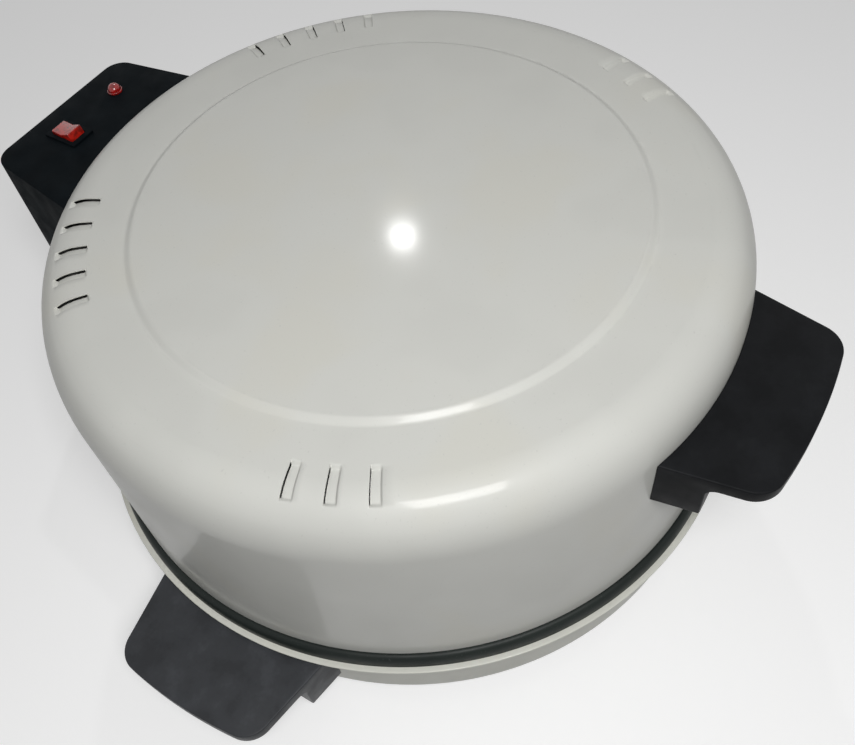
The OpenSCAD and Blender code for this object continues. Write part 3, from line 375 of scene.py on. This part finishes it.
def moulded(name, colour, roughness, grain_mm, grain_depth, shine):
    """Black moulded plastic with a fine spark-eroded grain and faint handling marks."""
    paint = Paint(name, colour, roughness, Specular_IOR_Level=shine)
    light = tuple(1.35 * c for c in colour)
    dark = tuple(0.75 * c for c in colour)
    paint.colour(paint.ramp(paint.noise(22, 4, 0.6), [(0.35, dark), (0.52, colour), (0.7, light)]))
    paint.roughness(paint.span(paint.noise(12, 4), roughness - 0.08, roughness + 0.10))
    paint.bump(paint.noise(grain_mm, 3), grain_depth)
    paint.bump(paint.noise(30, 1), 0.15, 0.4)
    return paint.material


def coating():
    """Black non-stick coating with fine pale specks."""
    paint = Paint("nonstick_black", (0.008, 0.011, 0.010), 0.30, Specular_IOR_Level=0.2)
    specks = paint.span(paint.noise(0.9, 2, 0.6), 0.0, 1.0, 0.66, 0.74)
    cloudy = paint.ramp(paint.noise(35, 3), [(0.35, (0.005, 0.008, 0.007)), (0.7, (0.009, 0.013, 0.011))])
    paint.colour(paint.mix(specks, cloudy, (0.036, 0.041, 0.038)))
    paint.roughness(paint.span(paint.noise(20, 4), 0.40, 0.56))
    paint.bump(paint.noise(1.1, 3), 0.03)
    return paint.material


def bright_sheet():
    """Aluminised sheet with rolling lines along one way and heat-dulled clouds."""
    paint = Paint("aluminised_sheet", (0.70, 0.71, 0.72), 0.30, 1.0)
    lines = paint.noise(1.0, 2, 0.5, (1.0, 0.02, 1.0))
    clouds = paint.noise(40, 4)
    paint.colour(paint.ramp(clouds, [(0.3, (0.50, 0.49, 0.46)), (0.5, (0.66, 0.66, 0.66)),
                                     (0.7, (0.74, 0.75, 0.76))]))
    paint.roughness(paint.span(lines, 0.22, 0.42))
    paint.bump(lines, 0.01, 0.6)
    return paint.material


def sheath():
    """Heat-browned steel tube of a heating element."""
    paint = Paint("element_sheath", (0.16, 0.14, 0.13), 0.42, 0.9)
    paint.colour(paint.ramp(paint.noise(16, 4, 0.6), [
        (0.30, (0.055, 0.048, 0.045)), (0.48, (0.13, 0.105, 0.09)), (0.62, (0.16, 0.14, 0.14)),
        (0.75, (0.10, 0.10, 0.13))]))
    paint.roughness(paint.span(paint.noise(5, 4), 0.32, 0.58))
    paint.bump(paint.noise(0.8, 3), 0.02)
    return paint.material


def plated():
    """Zinc plated steel."""
    paint = Paint("zinc_plate", (0.55, 0.56, 0.57), 0.32, 1.0)
    paint.colour(paint.ramp(paint.noise(6, 4), [(0.3, (0.44, 0.45, 0.45)), (0.6, (0.60, 0.61, 0.62))]))
    paint.roughness(paint.span(paint.noise(3, 3), 0.24, 0.42))
    paint.bump(paint.noise(0.6, 2), 0.01)
    return paint.material


def ceramic():
    """Unglazed steatite with fine pores."""
    paint = Paint("steatite", (0.78, 0.74, 0.66), 0.62)
    paint.colour(paint.ramp(paint.noise(4, 4), [(0.3, (0.70, 0.66, 0.58)), (0.65, (0.82, 0.79, 0.72))]))
    paint.bump(paint.noise(0.5, 3), 0.03)
    return paint.material


def rubber():
    """Dull black rubber."""
    paint = Paint("foot_rubber", (0.020, 0.020, 0.020), 0.75)
    paint.colour(paint.ramp(paint.noise(7, 4), [
        (0.35, (0.014, 0.014, 0.014)), (0.7, (0.034, 0.033, 0.032))]))
    paint.roughness(paint.span(paint.noise(4, 3), 0.62, 0.85))
    paint.bump(paint.noise(0.5, 2), 0.03)
    return paint.material


def sleeve():
    """Braided glass-fibre sleeve."""
    paint = Paint("glass_sleeve", (0.72, 0.68, 0.58), 0.8)
    weave = paint.add("ShaderNodeTexChecker")
    weave.inputs["Scale"].default_value = 1800
    paint.link(paint.where, weave.inputs["Vector"])
    paint.colour(paint.ramp(weave.outputs["Fac"], [(0.0, (0.58, 0.54, 0.46)), (1.0, (0.78, 0.75, 0.67))]))
    paint.bump(weave.outputs["Fac"], 0.05)
    return paint.material


def lens(name, colour):
    """Red translucent plastic, cloudy inside."""
    paint = Paint(name, colour, 0.14, Transmission_Weight=0.25, IOR=1.49, Coat_Weight=0.3)
    dark = tuple(0.45 * c for c in colour)
    paint.colour(paint.ramp(paint.noise(3.5, 3), [(0.35, dark), (0.6, colour)]))
    paint.roughness(paint.span(paint.noise(2, 2), 0.10, 0.22))
    paint.bump(paint.noise(1.2, 2), 0.01)
    return paint.material


lid_paint = enamel("enamel_lid", (0.63, 0.632, 0.595))
base_paint = enamel("enamel_base", (0.64, 0.64, 0.58))
# The lid grip and the side grips are one handle plastic; the side grips' lighter black is painted light
lid_black = moulded("lid_handle_black", (0.0085, 0.009, 0.010), 0.46, 0.55, 0.035, 0.06)
grip_black_painted_light = moulded("side_handle_black_painted_light", (0.034, 0.036, 0.040), 0.46, 0.55, 0.035, 0.20)
housing_black = moulded("housing_black", (0.0040, 0.0058, 0.0072), 0.55, 0.45, 0.03, 0.02)
nonstick = coating()
bright = bright_sheet()
browned = sheath()
zinc = plated()
steatite = ceramic()
foot_black = rubber()
braid = sleeve()
rocker_red = lens("rocker_red", (0.62, 0.020, 0.010))
lamp_red = lens("lamp_red", (0.50, 0.010, 0.008))

# ---- Lid shell with louvres ----

vent_groups = [(50.5, 5), (129.5, 5), (205.5, 3), (-25.5, 3)]
vent_pitch = 6.3
vent_out = lid_r - 14.0
vent_l = 20.0
vent_in = vent_out - vent_l
flap_angle = 1.9
slit_angle = 0.07
flap_depth = 2.4
lid_t = 0.8
# A flap is deepest beside its slit, rises by this share and then blends into the sheet
flap_rise = 0.3
flap_blend = 0.24
end_blend = 0.10
slit_ends = 0.05
ring_step = 1.5
flap_cells = 15
tiny = 0.001
vent_angles = [middle + (i - (count - 1) / 2) * vent_pitch
               for middle, count in vent_groups for i in range(count)]


def smooth_step(x):
    """Smooth rise from 0 to 1."""
    x = min(1.0, max(0.0, x))
    return x * x * (3 - 2 * x)


def shoulder_z(r):
    """Height of the shoulder's outer face at radius r."""
    t = max(0.0, (r - lid_r + shoulder_w) / shoulder_w)
    return z_crease + shoulder_h * (1 - t ** shoulder_n) ** (1 / shoulder_n)


def lid_profile():
    """Outer line of the lid as (radius, height), from the axis to the lower edge."""
    disc = [(r, z_top - 0.5 * (r / disc_r) ** 2) for r in np.linspace(0, disc_r - 0.5, 14)]
    start_z = disc[-1][1]
    band = [(disc_r - 0.5 + (disc_band + 0.5) * s,
             start_z + (z_shoulder - start_z) * smooth_step((s - 0.08) / 0.84))
            for s in np.linspace(0, 1, 13)[1:]]
    flat = [(r, z_shoulder) for r in np.linspace(band[-1][0] + 3, vent_in - 1.5, 5)]
    vents = [(r, shoulder_z(r)) for r in np.arange(vent_in - 0.75, vent_out + 0.8, 0.5)]
    last = (vents[-1][0] - lid_r + shoulder_w) / shoulder_w
    start = math.asin(last ** (shoulder_n / 2))
    turns = start + (math.pi / 2 - start) * np.concatenate([np.linspace(0.08, 0.8, 12),
                                                            np.linspace(0.84, 1.0, 8)])
    rest = [(lid_r - shoulder_w + shoulder_w * math.sin(a) ** (2 / shoulder_n),
             z_crease + shoulder_h * max(math.cos(a), 0.0) ** (2 / shoulder_n)) for a in turns]
    wall = [(lid_r, z_crease + (z_edge - z_crease) * s) for s in (0.01, 0.03, 0.1, 0.3, 0.6, 0.9, 0.985)]
    return disc + band + flat + vents + rest + wall + [(lid_r - 0.15, z_edge)]


def ring_angles():
    """Angles of the sheet's upright lines: even round the lid, and closer at the louvres."""
    angles = set(np.round(np.arange(0, 360, ring_step), 3))
    for middle in vent_angles:
        start = middle - flap_angle / 2
        for a in np.concatenate([[start - slit_angle - 0.3, start - slit_angle],
                                 np.linspace(start, start + flap_angle, flap_cells)]):
            angles.add(round(float(a) % 360, 3))
        angles -= {a for a in list(angles)
                   if a % ring_step == 0 and abs((a - middle + 180) % 360 - 180) < flap_angle / 2 + 0.3
                   and round(a, 3) not in (round(start % 360, 3),)}
    return sorted(angles)


def outward(outline):
    """Outward unit normals along the lid's outer line."""
    slope = np.gradient(outline, axis=0)
    normal = np.stack([-slope[:, 1], slope[:, 0]], 1)
    normal /= np.linalg.norm(normal, axis=1)[:, None]
    normal[0] = (0, 1)
    return normal * np.sign(normal[:, 1:2] + normal[:, 0:1])


def flap_gap(a):
    """Angle from the start of the nearest louvre's flap to a."""
    return min(((a - (middle - flap_angle / 2) + 180) % 360 - 180 for middle in vent_angles), key=abs)


def pressed_in(gap, share):
    """Depth of the pressing, at an angle past a flap's start and a share of its length."""
    if gap < -tiny or not 0 < share < 1:
        return 0.0
    x = gap / flap_angle
    across = (1 - flap_rise * min(x, 1)) * (1 - smooth_step((x - 1 + flap_blend) / flap_blend))
    return flap_depth * across * smooth_step(share / end_blend) * smooth_step((1 - share) / end_blend)


def lid_shell():
    """Sheet of the lid, with an outer and an inner face, and louvres pressed into the shoulder."""
    angles = ring_angles()
    profile = lid_profile()
    outline = np.array(profile)
    normal = outward(outline)
    count, total = len(profile), len(angles)
    share = [(r - vent_in) / vent_l if z > z_crease else -1.0 for r, z in profile]
    slit_rows = {k for k in range(count - 1) if slit_ends < share[k] < 1 - slit_ends
                 and slit_ends < share[k + 1] < 1 - slit_ends}
    outer, inner = [], []
    slit_cells = set()
    for i, a in enumerate(angles):
        gap = flap_gap(a)
        c, d = math.cos(math.radians(a)), math.sin(math.radians(a))
        for k in range(count):
            sunk = pressed_in(gap, share[k])
            r, z = outline[k] - normal[k] * sunk
            outer.append((r * c, r * d, z))
            r, z = outline[k] - normal[k] * (sunk + lid_t)
            r = max(r, 0.0)
            inner.append((r * c, r * d, z))
        if -slit_angle - tiny <= gap < -tiny:
            slit_cells |= {(i, k) for k in slit_rows}
    faces = []
    shift = len(outer)

    def at(i, k):
        return (i % total) * count + k

    for i in range(total):
        for k in range(count - 1):
            if (i, k) in slit_cells:
                continue
            quad = (at(i, k), at(i + 1, k), at(i + 1, k + 1), at(i, k + 1))
            faces.append(quad)
            faces.append(tuple(v + shift for v in reversed(quad)))
            for (n, m), (u, v) in (((i, k - 1), (0, 1)), ((i, k + 1), (2, 3)),
                                   ((i - 1, k), (3, 0)), ((i + 1, k), (1, 2))):
                if ((n + total) % total, m) in slit_cells:
                    faces.append((quad[v], quad[u], quad[u] + shift, quad[v] + shift))
        low = (at(i, count - 1), at(i + 1, count - 1))
        faces.append((low[0], low[1], low[1] + shift, low[0] + shift))
    piece = make("lid_sheet", outer + inner, faces, lid_paint, "lid", smooth=50)
    return stand_in(piece, "painted_steel", "lid_shell")


lid_shell()

# ---- Base shell ----


def base_shell():
    """Pressed base with a rolled lip."""
    inner_r = base_r - sheet_t
    profile = [(0, z_floor), (60, z_floor), (60.8, z_floor + 0.5), (120, z_floor + 0.5),
               (120.8, z_floor), (base_r - base_corner, z_floor)]
    profile += arc(base_r - base_corner, z_floor + base_corner, base_corner, -85, 0, 12)
    profile += [(base_r, z_lip - 12), (base_r, z_lip - lip_t - 1.6)]
    profile += arc(base_r + 1.4, z_lip - lip_t - 1.4, 1.4, 180, 90, 4)
    profile += [(lip_r - 1.6, z_lip - lip_t)]
    profile += arc(lip_r - 0.75, z_lip - 0.75, 0.75, -90, 90, 8)
    profile += [(lip_r - 2.5, z_lip), (inner_r + 1.2, z_lip)]
    profile += arc(inner_r + 1.0, z_lip - 1.0, 1.0, 90, 180, 4)
    profile += [(inner_r, z_floor + base_corner)]
    profile += arc(base_r - base_corner, z_floor + base_corner, base_corner - sheet_t, 0, -90, 10)
    profile += [(120, z_floor + sheet_t), (0, z_floor + sheet_t)]
    verts, faces = revolve(profile)
    piece = make("base_sheet", verts, faces, base_paint, "base")
    return stand_in(piece, "painted_steel", "base_shell")


base_shell()

# ---- Pan ----


def baking_pan():
    """Black pan: flat floor, sloping wall and a rolled rim that rests on the base's lip."""
    crest = lid_r + 0.4
    over = rim_r - crest
    rim_h = z_rim - z_lip
    line = [(0, z_pan), (60, z_pan), (120, z_pan), (pan_floor_r - 6, z_pan)]
    line += arc(pan_floor_r - 6, z_pan + 14, 14, -86, -48, 6)
    line += [(lid_r - 13, z_lip - 5.2), (lid_r - 10.2, z_lip - 2.4), (lid_r - 7.6, z_lip - 0.6),
             (lid_r - 5.6, z_lip + 1.2), (lid_r - 5.0, z_lip + 2.6), (lid_r - 4.6, z_rim - 3.4)]
    line += arc(lid_r - 2.0, z_rim - 2.6, 2.6, 172, 90, 6)
    line += [(lid_r - 0.6, z_rim)]
    outer = [(crest + over * math.cos(a), z_lip + 3 + (rim_h - 3) * math.sin(a))
             for a in np.radians(np.linspace(90, 0, 12))]
    inside = [(crest + (over - pan_t) * math.cos(a), z_lip + 3 + (rim_h - 3 - pan_t) * math.sin(a))
              for a in np.radians(np.linspace(0, 90, 9))]
    under = [(lid_r - 1.4, z_rim - pan_t), (lid_r - 4.4 + pan_t, z_rim - 3.4),
             (lid_r - 5 + pan_t, z_lip + 0.8), (lid_r - 11 + pan_t, z_lip - 3.8),
             (pan_floor_r + 8, z_pan + 8), (pan_floor_r - 1, z_pan - pan_t), (0, z_pan - pan_t)]
    profile = line + outer + [(rim_r, z_lip), (rim_r - pan_t, z_lip)] + inside + under
    verts, faces = revolve(profile)
    piece = make("pan_sheet", verts, faces, nonstick, "base")
    return stand_in(piece, "nonstick_coating", "baking_pan")


baking_pan()

# ---- Handles ----

handle_flare = 10.2
handle_bow = 300.0
handle_corner = 16.0
handle_t = 8.5
root_d = 14.0
root_h = 33.0
root_fillet = 6.0
front_half = 52.5
side_half = 48.5
side_turn = 1.0
seat_gap = 0.2
edge_round = 0.9


def flared(reach, half, flare, corner, y_in, steps=12):
    """Plan outline that spreads towards the drum, with rounded outer corners."""
    t = math.radians(flare)
    xc = half + corner * math.tan(t) - corner / math.cos(t)
    half_in = half + (reach - y_in) * math.tan(t)
    return ([(-half_in, y_in), (half_in, y_in)]
            + arc(xc, reach - corner, corner, flare, 90, steps)
            + arc(-xc, reach - corner, corner, 90, 180 - flare, steps))


def bowed(reach, half, flare, bow, corner, y_in, steps=12):
    """Plan outline that spreads towards the drum: bowed outer edge, rounded outer corners."""
    t = math.radians(flare)
    turn = math.asin((half * math.cos(t) - corner + bow * math.sin(t)) / (bow - corner)) - t
    xc = (bow - corner) * math.sin(turn)
    yc = reach - bow + (bow - corner) * math.cos(turn)
    half_in = half + (reach - y_in) * math.tan(t)
    end = 90 - math.degrees(turn)
    return ([(-half_in, y_in), (half_in, y_in)] + arc(xc, yc, corner, flare, end, steps)
            + arc(0, reach - bow, bow, end, 180 - end, 2 * steps)[1:-1]
            + arc(-xc, yc, corner, 180 - end, 180 - flare, steps))


def sideways(outline, x0, x1):
    """An outline of (y, z) swept along X."""
    n = len(outline)
    verts = [(x, y, z) for x in (x0, x1) for y, z in outline]
    faces = [tuple(range(n))[::-1], tuple(range(n, 2 * n))]
    faces += [(k, (k + 1) % n, n + (k + 1) % n, n + k) for k in range(n)]
    return verts, faces


def drum_tool(r):
    """A tall cylinder about the drum's axis."""
    return prism(circle(r, 288), -20, z_top + 40)


def handle(name, node, body, angle, reach, half, top, r, material):
    """Moulded handle: flared plate with a root block against the drum."""
    y_in = r - 25
    y_block = r + root_d
    low = top - root_h
    outline = bowed(reach, half, handle_flare, handle_bow, handle_corner, y_in)
    plan = turned(prism(outline, low, top), angle)
    side = ([(y_in - 1, low - 1), (y_block, low - 1)]
            + arc(y_block + root_fillet, top - handle_t - root_fillet, root_fillet, 180, 90, 8)
            + [(reach + 1, top - handle_t), (reach + 1, top + 1), (y_in - 1, top + 1)])
    piece = make(name, *plan, material, body)
    cut(piece, [turned(sideways(side, -reach, reach), angle)], "INTERSECT")
    rounded(piece, edge_round)
    cut(piece, [drum_tool(r + seat_gap)])
    shade(piece.data)
    return stand_in(piece, "handle_plastic", node)


front_low, front_high = corners("lid_handle")
left_low, left_high = corners("side_handle_left")
front_reach = drum_y - front_low.y
# A turned handle's bow reaches a little past its own middle
side_reach = -left_low.x - 0.05
handle("lid_grip", "lid_handle", "lid", 180, front_reach, front_half, front_high.z, lid_r, lid_black)
for side, angle in (("left", 90 + side_turn), ("right", -90 - side_turn)):
    handle(f"{side}_grip", f"side_handle_{side}", "base", angle, side_reach, side_half,
           left_high.z, base_r, grip_black_painted_light)

# ---- Rear housings ----

rear_reach = corners("rear_housing")[1].y - drum_y
rear_half = 59.0
rear_flare = 8.6
rear_corner = 14.0
rear_in = 0.8 * lid_r
wall_t = 3.0
lip_clear = 1.2
edge_clear = 2.0
pin_r = 3.0
tunnel_r = 13.5
switch_seat_half = (7.9, 12.2)
lamp_seat_r = 4.1
seat_depth = 10.0
z_upper_low = corners("rear_housing")[0].z


def rear_outline(inset, steps=12):
    """Plan outline of the rear housings, drawn inset millimetres inside their outer face."""
    t = math.radians(rear_flare)
    half = rear_half + inset * math.tan(t) - inset / math.cos(t)
    return flared(rear_reach - inset, half, rear_flare, rear_corner - inset, rear_in, steps)


switch_low, switch_high = corners("switch_body")
lamp_low, lamp_high = corners("lamp_lens")
z_tunnel = corners("hinge_pin")[0].z + pin_r + tunnel_r
y_pin = (corners("hinge_pin")[0].y + corners("hinge_pin")[1].y) / 2 - drum_y


def box(x0, x1, y0, y1, z0, z1):
    """A block between two corners."""
    return prism([(x0, y0), (x1, y0), (x1, y1), (x0, y1)], z0, z1)


def rear_housing():
    """Upper rear housing: open below, with a fine edge and seats for the switch and the lamp."""
    piece = make("rear_casing", *prism(rear_outline(0, 14), z_upper_low, z_crease), housing_black, "lid")
    rounded(piece, edge_round)
    half_x, half_y = switch_seat_half
    switch_x = (switch_low.x + switch_high.x) / 2
    switch_y = (switch_low.y + switch_high.y) / 2 - drum_y
    lamp_x = (lamp_low.x + lamp_high.x) / 2
    lamp_y = (lamp_low.y + lamp_high.y) / 2 - drum_y
    cut(piece, [
        prism(rear_outline(wall_t), z_upper_low - 1, z_crease - wall_t),
        drum_tool(lid_r + seat_gap),
        prism(circle(lip_r + lip_clear, 288), -20, z_edge + edge_clear),
        box(-lid_r, lid_r, y_pin - tunnel_r, y_pin + lid_r, 0, z_tunnel),
        box(switch_x - half_x, switch_x + half_x, switch_y - half_y, switch_y + half_y,
            z_crease - seat_depth, z_top),
        moved(prism(circle(lamp_seat_r, 24), z_crease - seat_depth, z_top), (lamp_x, lamp_y, 0))])
    shade(piece.data)
    return stand_in(piece, "housing_plastic", "rear_housing")


rear_housing()

# ---- Heating elements ----

loop_out = 140.0
loop_in = 95.0
loop_turn = 16.0
leg_x = 12.0
leg_end = lid_r + 14
element_r = 3.3


def element_line():
    """Middle line of an element: leg, outer loop, inner loop and back, as (x, y)."""
    bend = 10.0
    phi = math.degrees(math.asin((leg_x + bend) / (loop_out + bend)))
    swing = math.radians(phi)
    half = [(leg_x, leg_end), (leg_x, (leg_end + (loop_out + bend) * math.cos(swing)) / 2)]
    half += arc((loop_out + bend) * math.sin(swing), (loop_out + bend) * math.cos(swing), bend,
                180, 270 - phi, 8)
    half += arc(0, 0, loop_out, 90 - phi, -90 + loop_turn, 60)[1:]
    ring = (loop_out + loop_in) / 2
    turn = math.radians(loop_turn)
    half += arc(ring * math.sin(turn), -ring * math.cos(turn), (loop_out - loop_in) / 2,
                270 + loop_turn, 90 + loop_turn, 14)[1:]
    half += arc(0, 0, loop_in, -90 + loop_turn, 90, 60)[1:]
    return half + [(-x, y) for x, y in reversed(half[:-1])]


def element(name, node, body, z):
    """Round tube along the element's middle line at height z."""
    verts, faces = tube([(x, y, z) for x, y in element_line()], element_r)
    piece = make(name, verts, faces, browned, body, smooth=60)
    return stand_in(piece, "element_sheath", node)


for name, node, body in (("lower_heater", "lower_element", "base"),
                         ("upper_heater", "upper_element", "lid")):
    low, high = corners(node)
    element(name, node, body, (low.z + high.z) / 2)

# ---- The other pieces keep their shape, with their edges rounded ----

REFINED = {
    "base": {
        "base_reflector": (bright, "aluminised_sheet", 0.0), "reflector_standoffs": (zinc, "steel", 0.2),
        "standoff_nuts": (zinc, "steel", 0.3), "lower_element_terminals": (steatite, "ceramic", 0.3),
        "lower_element_clips": (zinc, "steel", 0.2), "thermostat": (steatite, "ceramic", 0.4),
        "thermal_fuse": (bright, "aluminised_sheet", 0.2), "side_handle_screws": (zinc, "steel", 0.4),
        "foot_front_left": (foot_black, "foot_rubber", 0.7),
        "foot_front_right": (foot_black, "foot_rubber", 0.7),
        "foot_rear_left": (foot_black, "foot_rubber", 0.7),
        "foot_rear_right": (foot_black, "foot_rubber", 0.7),
        "foot_screws": (zinc, "steel", 0.4), "foot_nuts": (zinc, "steel", 0.3),
        "lower_rear_housing": (housing_black, "housing_plastic", 0.7),
        "lower_rear_cover": (housing_black, "housing_plastic", 0.4),
        "lower_housing_screws": (zinc, "steel", 0.4), "lower_cover_screws": (zinc, "steel", 0.4),
        "cord_inlet": (housing_black, "housing_plastic", 0.4),
        "terminal_block": (steatite, "ceramic", 0.4),
        "earth_screw": (zinc, "steel", 0.2), "base_leads": (braid, "lead_sleeve", 0.0),
        "hinge_bracket_base": (zinc, "steel", 0.4), "base_bracket_rivets": (zinc, "steel", 0.4),
        "hinge_pin": (zinc, "steel", 0.4), "hinge_pin_caps": (housing_black, "housing_plastic", 0.5),
        "hinge_washers": (steatite, "ceramic", 0.2)},
    "lid": {
        "lid_reflector": (bright, "aluminised_sheet", 0.0), "reflector_studs": (zinc, "steel", 0.2),
        "stud_nuts": (zinc, "steel", 0.3), "upper_element_terminals": (steatite, "ceramic", 0.3),
        "upper_element_clips": (zinc, "steel", 0.2), "lid_handle_screws": (zinc, "steel", 0.4),
        "rear_housing_cover": (housing_black, "housing_plastic", 0.4),
        "rear_housing_screws": (zinc, "steel", 0.4), "rear_cover_screws": (zinc, "steel", 0.4),
        "hinge_bracket_lid": (zinc, "steel", 0.4), "lid_bracket_rivets": (zinc, "steel", 0.4),
        "switch_body": (housing_black, "housing_plastic", 0.5), "lamp_lens": (lamp_red, "red_lens", 0.2),
        "lamp_body": (housing_black, "housing_plastic", 0.3), "lid_leads": (braid, "lead_sleeve", 0.0)},
    "rocker": {"switch_rocker": (rocker_red, "red_lens", 0.5)},
}
for body, nodes in REFINED.items():
    for node, (material, slot, bevel) in nodes.items():
        stand_in(refined(node, body, material, bevel), slot, node)

# ---- Floor, light and camera ----


def background_ray(tree):
    """1 for the rays that show the background: to the camera, in reflections and through glass."""
    path = tree.nodes.new("ShaderNodeLightPath")
    total = path.outputs["Is Camera Ray"]
    for name in ("Is Glossy Ray", "Is Transmission Ray"):
        add = tree.nodes.new("ShaderNodeMath")
        add.operation = "MAXIMUM"
        tree.links.new(total, add.inputs[0])
        tree.links.new(path.outputs[name], add.inputs[1])
        total = add.outputs["Value"]
    return total


def floor():
    """Pale floor, near white to the camera and to reflections, that keeps the shadow."""
    mesh = bpy.data.meshes.new("floor")
    side = 6.0
    mesh.from_pydata([(-side, -side, 0), (side, -side, 0), (side, side, 0), (-side, side, 0)], [],
                     [(0, 1, 2, 3)])
    plane = bpy.data.objects.new("floor", mesh)
    bpy.context.scene.collection.objects.link(plane)
    material = bpy.data.materials.new("floor_pale")
    material.use_nodes = True
    tree = material.node_tree
    shader = tree.nodes["Principled BSDF"]
    shader.inputs["Roughness"].default_value = 0.9
    shader.inputs["Specular IOR Level"].default_value = 0.0
    shader.inputs["Emission Color"].default_value = (1, 1, 1, 1)
    seen = background_ray(tree)
    shade = tree.nodes.new("ShaderNodeMapRange")
    shade.inputs["To Min"].default_value = 0.15
    shade.inputs["To Max"].default_value = 0.80
    glow = tree.nodes.new("ShaderNodeMath")
    glow.operation = "MULTIPLY"
    glow.inputs[1].default_value = 0.30
    tree.links.new(seen, shade.inputs["Value"])
    tree.links.new(shade.outputs["Result"], shader.inputs["Base Color"])
    tree.links.new(seen, glow.inputs[0])
    tree.links.new(glow.outputs["Value"], shader.inputs["Emission Strength"])
    mesh.materials.append(material)


def area_light(name, place, target, size, power):
    """Rectangular soft lamp that looks at the target."""
    data = bpy.data.lights.new(name, "AREA")
    data.shape = "RECTANGLE"
    data.size, data.size_y = size
    data.energy = power
    lamp = bpy.data.objects.new(name, data)
    bpy.context.scene.collection.objects.link(lamp)
    lamp.location = place
    lamp.rotation_euler = (Vector(target) - Vector(place)).to_track_quat("-Z", "Y").to_euler()
    return lamp


def world(strength):
    """White surroundings that light the object with the given strength."""
    scene_world = bpy.data.worlds.new("studio")
    bpy.context.scene.world = scene_world
    scene_world.use_nodes = True
    tree = scene_world.node_tree
    background = tree.nodes["Background"]
    background.inputs["Color"].default_value = (1, 1, 1, 1)
    switch = tree.nodes.new("ShaderNodeMapRange")
    switch.inputs["To Min"].default_value = strength
    switch.inputs["To Max"].default_value = 1.0
    tree.links.new(background_ray(tree), switch.inputs["Value"])
    tree.links.new(switch.outputs["Result"], background.inputs["Strength"])


def camera():
    """Camera at the photograph's place, from a fit to the drum's rings and upright edges."""
    focal_px = 930.8
    width_px = 855.0
    sensor = 36.0
    place = Vector((-292.1, -242.8 + drum_y, 581.6)) * MM
    back = Vector((-0.4639, -0.3679, 0.8059)).normalized()
    roll = math.radians(-7.94)
    level = (-back).cross(Vector((0, 0, 1))).normalized()
    rise = back.cross(level)
    right = math.cos(roll) * level + math.sin(roll) * rise
    up = back.cross(right)
    data = bpy.data.cameras.new("camera")
    data.sensor_width = sensor
    data.lens = sensor * focal_px / width_px
    data.clip_start, data.clip_end = 0.01, 50
    eye = bpy.data.objects.new("camera", data)
    bpy.context.scene.collection.objects.link(eye)
    turn = Matrix((right, up, back)).transposed().to_4x4()
    eye.matrix_world = Matrix.Translation(place) @ turn
    bpy.context.scene.camera = eye


floor()
world(0.11)
target = (0, drum_y * MM, 0.15)
area_light("key", (-0.42, -0.46, 0.98), target, (0.34, 0.30), 7.7)
area_light("lamp", (1.07, 0.84, 1.65), target, (0.055, 0.04), 2.0)
camera()
bpy.context.scene.view_settings.view_transform = "Standard"
